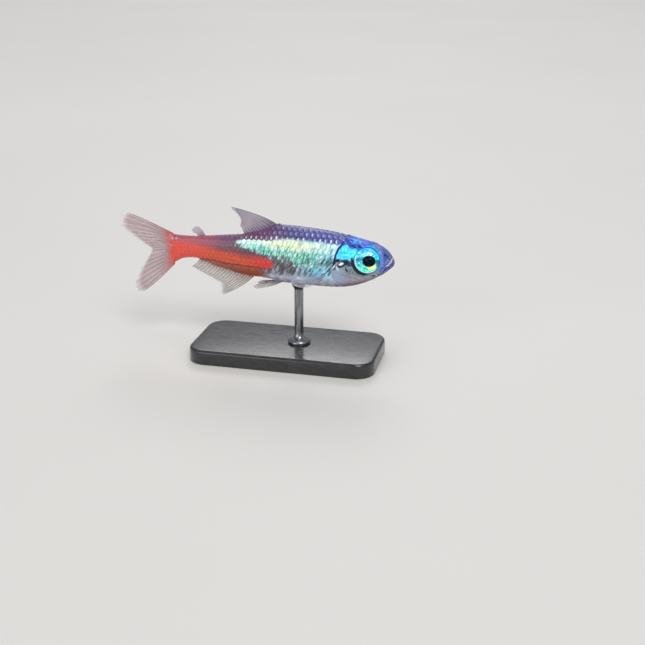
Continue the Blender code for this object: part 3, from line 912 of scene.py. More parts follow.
eyeSocket = {
    "clearance": 0.03 * mm,
    "crisp": 0.30 * mm,  # the points this near the rim are drawn toward it
    "lidRise": 0.07 * mm,
    "lidOut": 0.10 * mm,
    "lidWidth": 0.16 * mm,
    "deeper": 0.05 * mm,
}
nostrilPit = {"rimRise": 0.05 * mm, "depth": 0.18 * mm, "rim": 1.15, "rimWidth": 0.4, "width": 0.75}
headLines = {
    # grooves and the swells beside them: rise, distance from the line, width in shares of the length
    "cheek": ((-0.055 * mm, 0.0, 0.0034), (0.035 * mm, -0.009, 0.007)),
    "seam": ((-0.045 * mm, 0.0, 0.0030), (0.020 * mm, 0.008, 0.006)),
    "eyeBones": ((-0.040 * mm, 0.083, 0.0032), (0.025 * mm, 0.074, 0.006)),
    "jaw": ((-0.020 * mm, 0.0185, 0.0025),),
    "jawRise": 0.045 * mm,
    "foldRise": 0.022 * mm,
    "foldsPerLength": 620,
    "crownSeam": 0.03 * mm,
    "throatSeam": 0.05 * mm,
    "seamWidth": 0.14 * mm,
}


def drawLine(name, away):
    # a groove and its swells, by the distance from its line
    return sum(rise * bump(away, place, width) for rise, place, width in headLines[name])


def headRelief(along, turn, points):
    # lips, mouth slit, nostrils, the folds of cheek and cover, and the rim of the gill cover
    height = heightOf(points)
    cornerAlong, cornerHeight = mouth["corner"]
    fromLine = height - cornerHeight * along / cornerAlong
    ahead = np.clip(1 - (along / cornerAlong) ** 4, 0, 1)
    lift = mouth["lipRise"] * bump(fromLine, 0, mouth["lipReach"]) * ahead
    lift -= mouth["slitDepth"] * bump(fromLine, 0, mouth["slitReach"]) * np.sqrt(ahead)
    for pitAlong, pitHeight, radius in nostrils:
        centre = bodyPoint(pitAlong, turnAtHeight(pitAlong, pitHeight))
        for side in (-1, 1):
            away = np.linalg.norm(points - centre * np.array([1, side, 1]), axis=-1)
            ring = bump(away, radius * nostrilPit["rim"], radius * nostrilPit["rimWidth"])
            lift += nostrilPit["rimRise"] * ring
            lift -= nostrilPit["depth"] * bump(away, 0, radius * nostrilPit["width"])
    rim = np.clip(1 - (gillEdge(turn) - along) / gill["rim"], 0, 1)
    lift += gill["rise"] * rim * np.abs(np.cos(turn))
    # hind edge of the cheek plates, the seam of the plate under the cover, the rim of the bones
    # under the eye, the plate behind the corner of the mouth, and the folds under the throat
    cheekEdge = 0.180 - 6.0 * (height + 0.005) ** 2
    lift += drawLine("cheek", along - cheekEdge) * fade(height, 0.075, 0.055)
    lowerSeam = -0.078 + 0.30 * (along - 0.13)
    lift += drawLine("seam", height - lowerSeam) * fade(along, 0.09, 0.12) * fade(along, 0.245, 0.225)
    fromEye = np.hypot(along - eyePlace["along"], height - eyePlace["height"])
    lift += drawLine("eyeBones", fromEye) * fade(height, 0.030, 0.000)
    jaw = np.hypot((along - cornerAlong - 0.010) / 0.8, height - cornerHeight + 0.010)
    lift += headLines["jawRise"] * fade(jaw, 0.017, 0.012) + drawLine("jaw", jaw)
    folds = np.sin((height + 0.35 * along) * headLines["foldsPerLength"])
    lift += headLines["foldRise"] * folds * fade(height, -0.065, -0.085) * bump(along, 0.185, 0.04)
    # the seams along the middle of the crown and of the throat
    seam = bump(points[..., 1], 0, headLines["seamWidth"]) * bump(along, 0.13, 0.05)
    lift -= np.where(height > 0, headLines["crownSeam"], headLines["throatSeam"]) * seam
    return lift


def pressSockets(points):
    # presses the eye sockets in, with a crisp rim and a soft lid standing a little out round it
    reach = eyePlace["radius"] + eyeSocket["clearance"]
    for side in (-1, 1):
        centre, axes = eyeFrame(side)
        local = (points - centre) @ axes.T
        away = np.hypot(local[..., 0], local[..., 1])
        near = (away < 2 * reach) & (points[..., 1] * side > 0)
        close = np.abs((away - reach) / eyeSocket["crisp"])
        drawn = np.where(close < 1, reach + (away - reach) * close ** 0.7, away)
        spread = drawn / np.maximum(away, 1e-9)
        lid = bump(drawn, reach + eyeSocket["lidOut"], eyeSocket["lidWidth"])
        out = local[..., 2] + eyeSocket["lidRise"] * lid
        within = np.clip(1 - (drawn / reach) ** 2, 0, 1)
        sunk = -(eyePlace["bowl"] + eyeSocket["deeper"]) * np.sqrt(within)
        out = np.where(drawn < reach, np.minimum(out, 0) * fade(within, 0.12, 0.0) + sunk, out)
        pressed = np.stack([local[..., 0] * spread, local[..., 1] * spread, out], -1) @ axes + centre
        points = np.where(near[..., None], pressed, points)
    return points


def thinToBlade(along, points, thinner):
    # the end of the body thins inside the tail fin
    thin = fade(along, skinGrid["bladeFrom"], skinGrid["tailEnd"])
    points[..., 1] *= 1 - thinner * thin
    return thin


def buildSkin(material):
    around = skinGrid["around"]
    turn = np.arange(around) * 2 * math.pi / around
    edge = gillEdge(turn)[None, :]
    v = (np.arange(skinGrid["headRings"]) + 1) / skinGrid["headRings"]
    headAlong = edge * v[:, None] ** 2
    headTurn = np.broadcast_to(turn, headAlong.shape)
    relief = headRelief(headAlong, headTurn, bodyPoint(headAlong, headTurn))
    headPoints = pressSockets(bodyPoint(headAlong, headTurn, relief))

    # the trunk starts under the cover's rim
    first = skinGrid["underCover"]
    w = np.concatenate([[0, first], np.linspace(2 * first, 1, skinGrid["trunkRings"])])
    trunkAlong = edge + (skinGrid["tailEnd"] - edge) * w[:, None]
    trunkTurn = np.broadcast_to(turn, trunkAlong.shape)
    tuck = skinGrid["coverTuck"] * bump(trunkAlong, edge, skinGrid["tuckReach"])
    trunkPoints = bodyPoint(trunkAlong, trunkTurn, -fish["coatDepth"] - tuck)
    for shape in fleshyBases:
        trunkPoints = trunkPoints + shape(trunkAlong, trunkTurn, trunkPoints)
    thin = thinToBlade(trunkAlong, trunkPoints, skinGrid["bladeThinner"])
    fromAxis = trunkPoints[..., 2] - fish["axisHeight"]
    trunkPoints[..., 2] = fish["axisHeight"] + fromAxis * (1 - skinGrid["bladeLower"] * thin ** 3)

    rings = np.concatenate([headPoints, trunkPoints])
    snoutTip = np.array(at(0.0)) - [skinGrid["tipIn"], 0, 0]
    verts = np.concatenate([rings.reshape(-1, 3), [snoutTip], [rings[-1].mean(0)]])
    faces = gridFaces(len(rings), around, closed=True)
    faces += fanFaces(around, 0, len(verts) - 2, turned=True)
    faces += fanFaces(around, (len(rings) - 1) * around, len(verts) - 1)
    flesh = ("head", "trunk", "tail_stem")
    return addPiece("fishSkin", verts, faces, material, flesh, sharp=75)


# fins

dorsalFin = {
    "root": (0.503, 0.659),
    "rays": 11,
    "phase": 6,
    "length": ((0.0, 5.5), (0.15, 5.9), (0.3, 5.3), (0.5, 3.9), (0.75, 2.2), (1.0, 1.0)),
    "angle": ((0.0, 18.0), (0.5, 33.0), (1.0, 54.0)),
    "curl": ((0.0, 8.0), (1.0, 4.0)),
}
adiposeFin = {
    "root": (0.838, 0.870),
    "rays": 4,
    "phase": 4,
    "length": ((0.0, 1.3), (0.25, 1.48), (0.6, 1.4), (1.0, 0.75)),
    "angle": ((0.0, 46.0), (0.5, 30.0), (1.0, 6.0)),
    "curl": ((0.0, 8.0), (1.0, 2.0)),
}
analFin = {
    "root": (0.6146, 0.865),
    "rays": 19,
    "phase": 6,
    "length": ((0.0, 5.4), (0.12, 4.7), (0.25, 3.4), (0.4, 2.5), (0.7, 2.0), (1.0, 1.6)),
    "angle": ((0.0, -36.0), (0.4, -40.0), (1.0, -36.0)),
    "curl": ((0.0, -10.0), (1.0, -6.0)),
}
tailUpper = {
    "root": (0.0640, 0.0090),
    "rays": 10,
    "phase": 6,
    "length": ((0.0, 6.5), (0.15, 7.1), (0.3, 7.0), (0.5, 5.4), (0.75, 3.9), (1.0, 2.8)),
    "angle": ((0.0, 30.0), (0.15, 25.0), (0.3, 16.0), (0.5, 8.0), (1.0, -13.0)),
    "curl": ((0.0, 14.0), (1.0, 0.0)),
}
tailLower = {
    "root": (-0.0740, -0.0015),
    "rays": 9,
    "phase": 6,
    "length": ((0.0, 6.2), (0.15, 6.8), (0.3, 6.7), (0.5, 5.6), (0.8, 3.9), (1.0, 3.0)),
    "angle": ((0.0, -58.0), (0.15, -53.0), (0.5, -39.0), (1.0, -17.0)),
    "curl": ((0.0, -24.0), (1.0, 0.0)),
}
pectoralFin = {
    "along": 0.286,
    "round": -33.0,
    "base": 1.0 * mm,
    "outward": 20.0,
    "down": 5.0,
    "roll": 36.0,
    "rays": 11,
    "phase": 4,
    "length": ((0.0, 4.3), (0.2, 4.6), (0.5, 4.0), (1.0, 2.2)),
    "angle": ((0.0, 6.0), (1.0, -24.0)),
    "curl": ((0.0, 0.0), (1.0, 0.0)),
}
pelvicFin = {
    "along": 0.488,
    "round": -73.0,
    "base": 0.8 * mm,
    "outward": 8.0,
    "down": 11.0,
    "roll": 122.0,
    "rays": 8,
    "phase": 4,
    "length": ((0.0, 4.0), (0.2, 4.2), (0.5, 3.6), (1.0, 2.3)),
    "angle": ((0.0, 0.0), (1.0, -18.0)),
    "curl": ((0.0, 0.0), (1.0, 0.0)),
}
finBuild = {
    "sink": 0.30 * mm,  # how far the roots run on into the flesh
    "wave": 0.16 * mm,
    "webRoot": 0.055 * mm,  # half thickness of the clear web, at its root and at its edge
    "webEdge": 0.010 * mm,
    "scallop": 0.035,
    "pleat": 0.035 * mm,
    "webAcross": 14,  # columns from one ray to the next
    "webSteps": 30,
    "raySides": 8,
    "raySteps": 64,
    "rayRoot": 0.0527 * mm,
    "rayTip": 0.00992 * mm,
    "joint": 0.16,  # how much thinner a ray is between its joints
    "leadingThicker": 1.25,
    "branchThinner": 0.80,
    "leadingEnd": 0.97,
    "rayEnd": 0.985,
    # where a ray splits and splits again: the middle, the spread, and the step from ray to ray
    "splits": ((0.46, 0.08, 2.3), (0.74, 0.05, 3.1)),
    # how far the branches part, in shares of the way to the next ray, and over what length
    "halves": (0.22, 0.35),
    "quarters": (0.11, 0.25),
}
upright = {"back": np.array([-1.0, 0, 0]), "spread": np.array([0, 0, 1.0])}


def sideTurn(degrees, side):
    # a place round the body, given for the left side
    return math.radians(degrees) if side > 0 else math.pi - math.radians(degrees)


def acrossFin(plan):
    return np.cross(plan["back"], plan["spread"])


def uprightPlan(fin, up):
    # a fin on the back (up is 1) or under the belly (-1)
    first, last = fin["root"]
    turn = up * math.pi / 2

    def root(share):
        along = first + (last - first) * share
        normal = bodyNormal(along, turn)
        return bodyPoint(along, turn) + normal * fish["gap"], normal

    return {"fin": fin, "root": root, **upright}


def tailPlan(fin):
    first, last = fin["root"]
    rootX = fish["snoutX"] - fish["length"] - fish["gap"]

    def root(share):
        height = first + (last - first) * np.asarray(share, float)
        z = fish["axisHeight"] + height * fish["length"]
        points = np.stack([rootX + 0 * height, 0 * height, z], -1)
        return points, np.broadcast_to(upright["back"], points.shape)

    return {"fin": fin, "root": root, **upright}


def pairedPlan(fin, side):
    turn = sideTurn(fin["round"], side)
    normal = Vector(bodyNormal(fin["along"], turn))
    outward, down = math.radians(fin["outward"]), math.radians(fin["down"])
    back = Vector((-math.cos(outward), side * math.sin(outward), -math.tan(down))).normalized()
    straightUp = (Vector((0, 0, 1)) - back * back.z).normalized()
    spread = Matrix.Rotation(math.radians(fin["roll"]) * side, 3, back) @ straightUp
    base = normal.cross(back.cross(spread)).normalized() * fin["base"]
    if base.dot(spread) < 0:
        base.negate()
    clear = np.array(Vector(bodyPoint(fin["along"], turn)) + normal * fish["gap"])

    def root(share):
        share = np.asarray(share, float)
        return clear + np.array(base) * (0.5 - share)[..., None], np.array(normal)

    return {"fin": fin, "root": root, "back": np.array(back), "spread": np.array(spread)}


def finPoint(plan, share, t, shorten=1.0):
    # a point of the fin's middle sheet: share from the first ray to the last, t out along the ray
    fin = plan["fin"]
    share, t = np.broadcast_arrays(np.asarray(share, float), np.asarray(t, float))
    length, angle, curl = (curveThrough(fin[name])(share) for name in ("length", "angle", "curl"))
    turn = np.radians(angle - curl * t / 2)[..., None]
    root, normal = plan["root"](share)
    reach = (length * mm * shorten * t)[..., None]
    point = root + (plan["back"] * np.cos(turn) + plan["spread"] * np.sin(turn)) * reach
    point = point - normal * (fish["gap"] + finBuild["sink"]) * ((1 - t) ** 3)[..., None]
    wave = finBuild["wave"] * np.sin(share * 5.2 + t * 2.6 + fin["phase"]) * t ** 2 * length / 6
    return point + acrossFin(plan) * wave[..., None]


def buildWeb(name, plans, material, replaces):
    # the clear skin between the rays, drawn in a little at its edge and pleated from ray to ray
    steps = finBuild["webSteps"] + 1
    t = np.linspace(0, 1, steps)[None, :]
    sheets, places = [], []
    for plan, (first, last) in plans:
        gaps = plan["fin"]["rays"] - 1
        columns = gaps * finBuild["webAcross"] + 1
        share = np.linspace(first, last, columns)[:, None]
        between = np.sin(np.linspace(0, gaps, columns)[:, None] * math.pi) ** 2
        frayed = 1 - finBuild["scallop"] * between * (0.75 + 0.5 * np.sin(share * 91.0))
        sheets.append(finPoint(plan, share, t, frayed))
        places.append(np.stack(np.broadcast_arrays(share, t, between * np.ones_like(t)), -1))
    middle, place = np.concatenate(sheets), np.concatenate(places)
    half = (finBuild["webRoot"] * (1 - t) ** 1.5 + finBuild["webEdge"])[..., None]
    pleat = (finBuild["pleat"] * np.sin(place[..., 2] * math.pi / 2) * fade(t, 0.05, 0.4))[..., None]
    across = acrossFin(plans[0][0])
    left, right = (middle + across * (pleat * 0.5 + sign * half) for sign in (1, -1))
    count = len(middle) * steps
    faces = gridFaces(len(middle), steps)
    faces += [face[::-1] for face in gridFaces(len(middle), steps, count)]
    index = np.arange(count).reshape(-1, steps)
    rim = np.concatenate([index[0, :], index[1:, -1], index[-1, -2::-1], index[-2:0:-1, 0]]).tolist()
    faces += [(b, a, a + count, b + count) for a, b in zip(rim, rim[1:] + rim[:1])]
    verts = np.concatenate([left.reshape(-1, 3), right.reshape(-1, 3)])
    field = np.concatenate([place.reshape(-1, 3)] * 2)
    return addPiece(name, verts, faces, material, replaces, {"finPlace": field}, sharp=50)


def tubes(lines, radii, across, sides):
    # round rods along many lines at once, each with its own radius at every step
    verts, faces, start = [], [], 0
    ring = np.arange(sides)[:, None] * 2 * math.pi / sides
    for line, radius in zip(lines, radii):
        ahead = unit(np.gradient(line, axis=0))
        aside = unit(np.cross(across, ahead))
        over = np.cross(ahead, aside)
        spokes = aside[:, None] * np.cos(ring) + over[:, None] * np.sin(ring)
        rings = line[:, None] + spokes * radius[:, None, None]
        verts += [rings.reshape(-1, 3), line[:1], line[-1:]]
        end = start + len(line) * sides
        faces += gridFaces(len(line), sides, start, closed=True)
        faces += fanFaces(sides, start, end, turned=True) + fanFaces(sides, end - sides, end + 1)
        start = end + 2
    return np.concatenate(verts), faces


def buildRays(name, plans, material):
    # each ray is jointed, splits in two half way out and in four near its tip
    build = finBuild
    lines, radii, places = [], [], []
    for plan, shares in plans:
        rays = plan["fin"]["rays"]
        pitch = (shares[1] - shares[0]) / (rays - 1)
        for i in range(rays):
            leading = i == 0
            split, again = (place + spread * math.sin(i * step) for place, spread, step in build["splits"])
            parts = [(0.0, build["leadingEnd"] if leading else split, 0, 0)]
            for half in () if leading else (-1, 1):
                parts.append((split, again, half, 0))
                parts += [(again, build["rayEnd"], half, quarter) for quarter in (-1, 1)]
            for start, end, half, quarter in parts:
                steps = max(8, int((end - start) * build["raySteps"]))
                t = np.linspace(start, end, steps)
                bends = ((half, split, build["halves"]), (quarter, again, build["quarters"]))
                apart = sum(way * far * fade(t, begin, begin + over) for way, begin, (far, over) in bends)
                share = np.clip(shares[0] + pitch * i + apart * pitch, min(shares), max(shares))
                lines.append(finPoint(plan, share, t))
                size = build["rayRoot"] * (1 - t) ** 1.15 + build["rayTip"]
                size = size * (build["leadingThicker"] if leading else 1)
                size = size * (build["branchThinner"] if start else 1)
                radii.append(size * (1 - build["joint"] * fade(t, 0.15, 0.35) * (np.arange(steps) % 2)))
                ring = np.repeat(np.stack([share, t, 0 * t], -1), build["raySides"], axis=0)
                places += [ring, ring[:1], ring[-1:]]
    verts, faces = tubes(lines, radii, acrossFin(plans[0][0]), build["raySides"])
    return addPiece(name, verts, faces, material, (), {"finPlace": np.concatenate(places)}, sharp=80)


# flesh that the fins grow out of

def ridgeFlesh(fin, up, rise):
    first, last = fin["root"]

    def shape(along, turn, points):
        inRange = fade(along, first - 0.02, first + 0.012) * fade(along, last + 0.02, last - 0.006)
        near = bump(points[..., 1], 0, 0.26 * mm) * (np.sin(turn) * up > 0)
        lift = (rise * inRange * near)[..., None]
        return lift * bodyNormal(along, np.full_like(along, up * math.pi / 2))

    return shape


def moundFlesh(fin, side, rise, reach):
    root = (fin["along"], sideTurn(fin["round"], side))
    centre, outward = bodyPoint(*root), bodyNormal(*root)

    def shape(along, turn, points):
        away = np.linalg.norm((points - centre) * np.array([0.8, 1, 1]), axis=-1)
        return (rise * bump(away, 0, reach))[..., None] * outward

    return shape


fleshyBases = [
    ridgeFlesh(dorsalFin, 1, 0.20 * mm),
    ridgeFlesh(adiposeFin, 1, 0.12 * mm),
    ridgeFlesh(analFin, -1, 0.20 * mm),
] + [
    moundFlesh(fin, side, rise, reach)
    for side in (-1, 1)
    for fin, rise, reach in ((pectoralFin, 0.16 * mm, 0.62 * mm), (pelvicFin, 0.14 * mm, 0.55 * mm))
]


# coat of scales

coat = {
    "rowPitch": ((0.0, 0.70 * mm), (0.5, 0.70 * mm), (0.8, 0.54 * mm), (1.0, 0.46 * mm)),
    "stepPitch": ((0.0, 0.70 * mm), (0.5, 0.72 * mm), (0.8, 0.62 * mm), (1.0, 0.50 * mm)),
    "longer": 1.85,  # a scale's length over the pitch, so that it lies far under the one ahead
    "wider": 1.45,
    "sizeSpread": 0.05,
    "twist": 5.0,
    "thickness": 0.020 * mm,
    "inset": 0.985,
    "crown": 0.026 * mm,
    "settle": 0.012 * mm,
    "edgeDrop": 0.010 * mm,
    "rings": 5,
    "spokes": 20,
    "firstAlong": 0.185,
    "lastAlong": 1.002,
    "underCover": 0.006,
    "rowEnd": 0.42,  # a row ends this share of its pitch before the ridge or the keel
    "ridgeStep": 0.9,
    "mostRows": 30,  # on each side of the flank's middle; fewer fit
    "finClear": (0.012, 0.004),  # no scale on the ridge from this far ahead of a fin to this far behind
    "shownMiddle": 0.42,  # the middle of what shows of a scale, in half lengths behind its own
    "bladeThinner": 0.80,
    "patch": 0.003,  # how wide a scale lies on the unwrapped skin
    # on the unwrap: where the skin starts, its length, and how much it takes round
    "unwrap": (0.03, 0.94, 0.9),
}


def coatPlaces(side):
    # the middle of each scale: rows run along the body, and end where the back or belly cuts them off
    rowPitch, stepPitch = curveThrough(coat["rowPitch"]), curveThrough(coat["stepPitch"])
    turns = np.linspace(-math.pi / 2, math.pi / 2, 181)
    rows = coat["mostRows"]
    found = []
    along = coat["firstAlong"]
    while along < coat["lastAlong"]:
        step = float(stepPitch(along)) / fish["length"]
        for half in (0, 1):
            place = along + half * step / 2
            ring = bodyPoint(place, turns)
            arc = np.concatenate([[0], np.cumsum(np.linalg.norm(np.diff(ring, axis=0), axis=-1))])
            arc -= np.interp(0, turns, arc)
            pitch = float(rowPitch(place))
            margin = coat["rowEnd"] * pitch
            for far in (row * pitch for row in range(half - rows, rows + 1, 2)):
                if arc[0] + margin < far < arc[-1] - margin:
                    found.append((place, float(np.interp(far, arc, turns)), pitch, step * fish["length"]))
        along += step
    if side < 0:
        found = [(place, math.pi - turn, pitch, step) for place, turn, pitch, step in found]
    else:  # the rows along the ridge of the back and the keel of the belly
        ahead, behind = coat["finClear"]
        ridges = ((math.pi / 2, (dorsalFin, adiposeFin)), (-math.pi / 2, (analFin,)))
        along = coat["firstAlong"]
        while along < coat["lastAlong"]:
            step = float(stepPitch(along))
            for turn, fins in ridges:
                if not any(fin["root"][0] - ahead < along < fin["root"][1] + behind for fin in fins):
                    found.append((along, turn, float(rowPitch(along)), step))
            along += step / fish["length"] * coat["ridgeStep"]
    return [row for row in found if row[0] > gillEdge(row[1]) - coat["underCover"]]


def buildCoat(name, side, material, seed):
    rng = np.random.default_rng(seed)
    places = np.array(coatPlaces(side))
    count = len(places)
    along, turn, pitch, step = places.T[:, :, None]
    random = rng.random((count, 1))
    size = 1 + coat["sizeSpread"] * (rng.random((count, 1)) - 0.5)
    twist = np.radians(coat["twist"]) * (rng.random((count, 1)) - 0.5) * 2
    halfLong, halfWide = coat["longer"] * step / 2 * size, coat["wider"] * pitch / 2 * size

    # the outline is drawn once as rings of points: back along the scale, and across it
    spokes, rings = coat["spokes"], coat["rings"]
    angle = np.arange(spokes) * 2 * math.pi / spokes
    c, s = np.cos(angle), np.sin(angle)
    rimBack = np.sign(c) * np.abs(c) ** np.where(c > 0, 1.30, 0.75)
    rimAcross = np.sign(s) * np.abs(s) ** np.where(c > 0, 1.25, 0.85)
    shares = np.linspace(0, 1, rings + 1)[1:, None] ** 0.8
    back, across = (
        np.concatenate([[0], (shares * rim).ravel(), rim * coat["inset"], [0]])[None, :]
        for rim in (rimBack, rimAcross)
    )
    under = np.concatenate([np.zeros(1 + rings * spokes), np.ones(spokes + 1)])[None, :]

    moveBack = halfLong * back * np.cos(twist) - halfWide * across * np.sin(twist)
    moveAcross = halfLong * back * np.sin(twist) + halfWide * across * np.cos(twist)
    # one step along and round the skin, in metres, at each root
    stepAlong = bodyPoint(along + 0.001, turn) - bodyPoint(along - 0.001, turn)
    stepRound = bodyPoint(along, turn + 0.01) - bodyPoint(along, turn - 0.01)
    perAlong = np.linalg.norm(stepAlong, axis=-1) / 0.002
    perTurn = np.linalg.norm(stepRound, axis=-1) / 0.02
    onAlong = np.clip(along + moveBack / perAlong, 0.02, 1.03)
    onTurn = turn + moveAcross / perTurn
    # each scale rises from its root to its hind edge, and is a little domed and turned down at its rim
    toEdge = (back + 1) / 2
    rise = fish["coatDepth"] * (0.02 + 0.93 * toEdge) * (0.9 + 0.2 * random)
    rise = rise + coat["crown"] * (1 - across ** 2) * (0.4 + 0.6 * toEdge) - coat["settle"]
    rise = rise - coat["edgeDrop"] * np.clip((np.hypot(back, across) - 0.8) / 0.2, 0, 1) ** 2
    rise = rise - coat["thickness"] * under
    points = bodyPoint(onAlong, onTurn, -fish["coatDepth"])
    for shape in fleshyBases:
        points = points + 0.9 * shape(onAlong, onTurn, points)
    points = points + bodyNormal(onAlong, onTurn) * rise[..., None]
    thinToBlade(onAlong, points, coat["bladeThinner"])

    # the last ring of faces goes down round the rim to the underside
    per = back.shape[1]
    faces = fanFaces(spokes, 1, 0) + fanFaces(spokes, 1 + rings * spokes, per - 1, turned=True)
    faces += [(a, d, c, b) for a, b, c, d in gridFaces(rings + 1, spokes, 1, closed=True)]
    allFaces = [tuple(k * per + v for v in face) for k in range(count) for face in faces]
    shownAlong = along + coat["shownMiddle"] * halfLong / fish["length"]
    still = np.zeros((count, per))
    rootHeight = heightOf(bodyPoint(along, turn))
    fields = {
        "scaleRoot": np.stack([shownAlong + still, random + still, rootHeight + still], -1),
        "scaleLocal": np.stack([back + still, across + still, still], -1),
    }
    piece = addPiece(name, points, allFaces, material, (), fields, sharp=55)

    # each scale is a small patch at its root's place on the skin, rolled out flat
    start, long, taken = coat["unwrap"]
    flatU = start + long * along + coat["patch"] / 2 * back
    fromMiddle = turn - (math.pi / 2 if side < 0 else 0)
    flatV = 0.5 + fromMiddle / (2 * math.pi) * taken + coat["patch"] / 2 * across
    flat = np.stack(np.broadcast_arrays(flatU, flatV), -1).reshape(-1, 2).astype(np.float32)
    layer = piece.data.uv_layers.new(name="OFBake")
    corners = np.zeros(len(piece.data.loops), np.int32)
    piece.data.loops.foreach_get("vertex_index", corners)
    layer.data.foreach_set("uv", flat[corners].ravel())
    return piece


# eyes

eyeLook = {
    "around": 96,
    "pupil": (0.86 * mm, 0.75 * mm),  # half width and half height
    "pupilShift": (0.25 * mm, -0.04 * mm),
    "irisOuter": 0.975,  # share of the eye's radius
    "irisDome": 0.37 * mm,
    "irisWave": 0.015 * mm,
    "irisThickness": 0.07 * mm,
    "collar": 0.05 * mm,
    "rollIn": 0.10 * mm,
    "lens": (1.02 * mm, 0.80 * mm, -0.40 * mm),  # radius, half depth and how far out its middle stands
    "lensStretch": (0.96, 0.86),
    "corneaOuter": 0.995,  # share of the eye's radius
    "corneaInner": 0.985,  # share of the outer side
    "corneaWall": 0.02 * mm,
    "wallRim": ((0.998, 1.0), (0.985, 2.0), (0.95, 2.2), (0.90, 0.0)),  # shares of radius and of rim's height
    "wallRimHeight": 0.03 * mm,
    "top": paint(0, 162, 255),
    "upper": paint(30, 220, 255),
    "side": paint(60, 206, 214),
    "pale": paint(206, 252, 255),
    "green": paint(70, 236, 186),
    "yellow": paint(228, 255, 150),
    "shade": paint(20, 84, 104),
    "rim": paint(10, 60, 180),
    "lensDark": (paint(1, 4, 14), paint(4, 14, 34)),
    "wallBlue": (paint(24, 70, 150), paint(80, 180, 236)),
    "clear": (paint(150, 190, 245), paint(190, 220, 255)),
}


def irisMaterial():
    # the iris gives off its own colour a little, a painted glow
    material, bench, shader = newMaterial("iris", Coat_Weight=0.3, Emission_Strength=0.35)
    look = eyeLook
    local = bench.field("eyePlace")
    x, y, _ = bench.split(local)
    away = bench.maths("SQRT", x * x + y * y)
    angle = bench.maths("ARCTAN2", y, x)
    strands = bench.noise(bench.join(angle * 9.0, away * 2.2), 1.0, 3.0, 0.4)
    broad = bench.join(x * 1.5, y * 1.5)
    clouds = bench.noise(broad, 2.2, 3.0, 0.6)
    mottles = bench.noise(bench.vector("ADD", broad, (3.0, 1.0, 0.0)), 3.4, 3.0, 0.4)
    # green below, blue-green at the sides and blue on top
    wavy = y + (clouds - 0.5) * 0.35
    stops = ((0.12, "green"), (0.40, "side"), (0.58, "upper"), (0.74, "upper"), (0.90, "top"))
    level = bench.maths("MULTIPLY_ADD", wavy, 0.5, 0.5)
    inFront = x.fade(0.62, 0.80) * abs(y + 0.12).fade(0.38, 0.18)
    # ridge is a pale arc above the pupil, a painted highlight
    ridge = away.fade(0.76, 0.66) * wavy.fade(0.30, 0.46)
    colour = bench.layers(
        bench.ramp(level, [(place, look[name]) for place, name in stops]),
        (abs(wavy).fade(0.55, 0.20) * clouds.fade(0.48, 0.58, 0.0, 0.85), look["shade"]),
        (mottles.fade(0.47, 0.34, 0.0, 0.8) * y.fade(0.75, 0.35, 0.35, 1.0), look["shade"]),
        (mottles.fade(0.58, 0.70, 0.0, 0.6), look["pale"]),
        (inFront * 0.85, look["shade"]),
        (ridge * strands.fade(0.40, 0.56, 0.1, 0.6), look["pale"]),
    )
    # a pale green light that hugs the pupil below and in front
    shiftX, shiftY, wide, tall = (size / eyePlace["radius"] for size in look["pupilShift"] + look["pupil"])
    fromPupil = bench.vector("SUBTRACT", local, (shiftX, shiftY, 0.0))
    pupilX, pupilY, _ = bench.split(bench.vector("DIVIDE", fromPupil, (wide, tall, 1.0)))
    pupilAway = bench.maths("SQRT", pupilX * pupilX + pupilY * pupilY)
    glint = pupilAway.fade(1.58, 1.40) * pupilY.fade(-0.30, -0.62)
    glint = glint * (pupilX.fade(-0.25, 0.05) * pupilX.fade(1.15, 0.95))
    paleRing = away.fade(0.84, 0.89) * (x * -0.7 - y).fade(0.0, 0.4)
    colour = bench.layers(
        colour,
        (glint, look["yellow"]),
        (strands.fade(0.56, 0.72, 0.0, 0.55), look["pale"]),
        (strands.fade(0.42, 0.30, 0.0, 0.6), look["rim"]),
        (paleRing * 0.7, look["pale"]),
        (away.fade(0.93, 0.975), bench.mix(wavy.fade(-0.1, 0.3), look["rim"], look["upper"])),
    )
    bench.feed(shader, {
        "Base Color": colour,
        "Metallic": strands.fade(0.3, 0.6, 0.1, 0.35),
        "Roughness": clouds.fade(0.3, 0.7, 0.22, 0.42),
        "Emission Color": colour,
        "Normal": bench.relief(strands, 0.5, 0.04 * mm),
    })
    return material


def lensMaterial():
    material, bench, shader = newMaterial("darkLens", Roughness=0.12, Specular_IOR_Level=0.06)
    clouds = bench.noise(objectPlace(bench), 900.0)
    bench.feed(shader, {"Base Color": bench.mix(clouds.fade(0.4, 0.7), *eyeLook["lensDark"])})
    return material


def scleraMaterial():
    material, bench, shader = newMaterial("eyeWall", Roughness=0.35, Coat_Weight=0.4)
    clouds = bench.noise(objectPlace(bench), 1400.0, 3.0)
    bench.feed(shader, {
        "Base Color": bench.mix(clouds.fade(0.4, 0.65), *eyeLook["wallBlue"]),
        "Metallic": clouds.fade(0.4, 0.7, 0.2, 0.6),
    })
    return material


def corneaMaterial():
    # a thin clear shell: a faint mirror that lets nearly all light through
    material, bench, shader = newMaterial("clearCornea", Metallic=1.0, Roughness=0.03)
    smear = bench.noise(objectPlace(bench), 1200.0)
    bench.feed(shader, {
        "Base Color": bench.mix(smear, *eyeLook["clear"]),
        "Alpha": smear.fade(0.3, 0.7, 0.006, 0.012),
    })
    return material


def lathe(profile, around, centre=(0.0, 0.0), stretch=(1.0, 1.0)):
    # rings of points round an axis; the profile gives each ring's radius and height
    turn = np.arange(around) * 2 * math.pi / around
    radius, high = np.array(profile).T
    x = centre[0] + radius[:, None] * np.cos(turn) * stretch[0]
    y = centre[1] + radius[:, None] * np.sin(turn) * stretch[1]
    return np.stack([x, y, high[:, None] + 0 * x], -1)


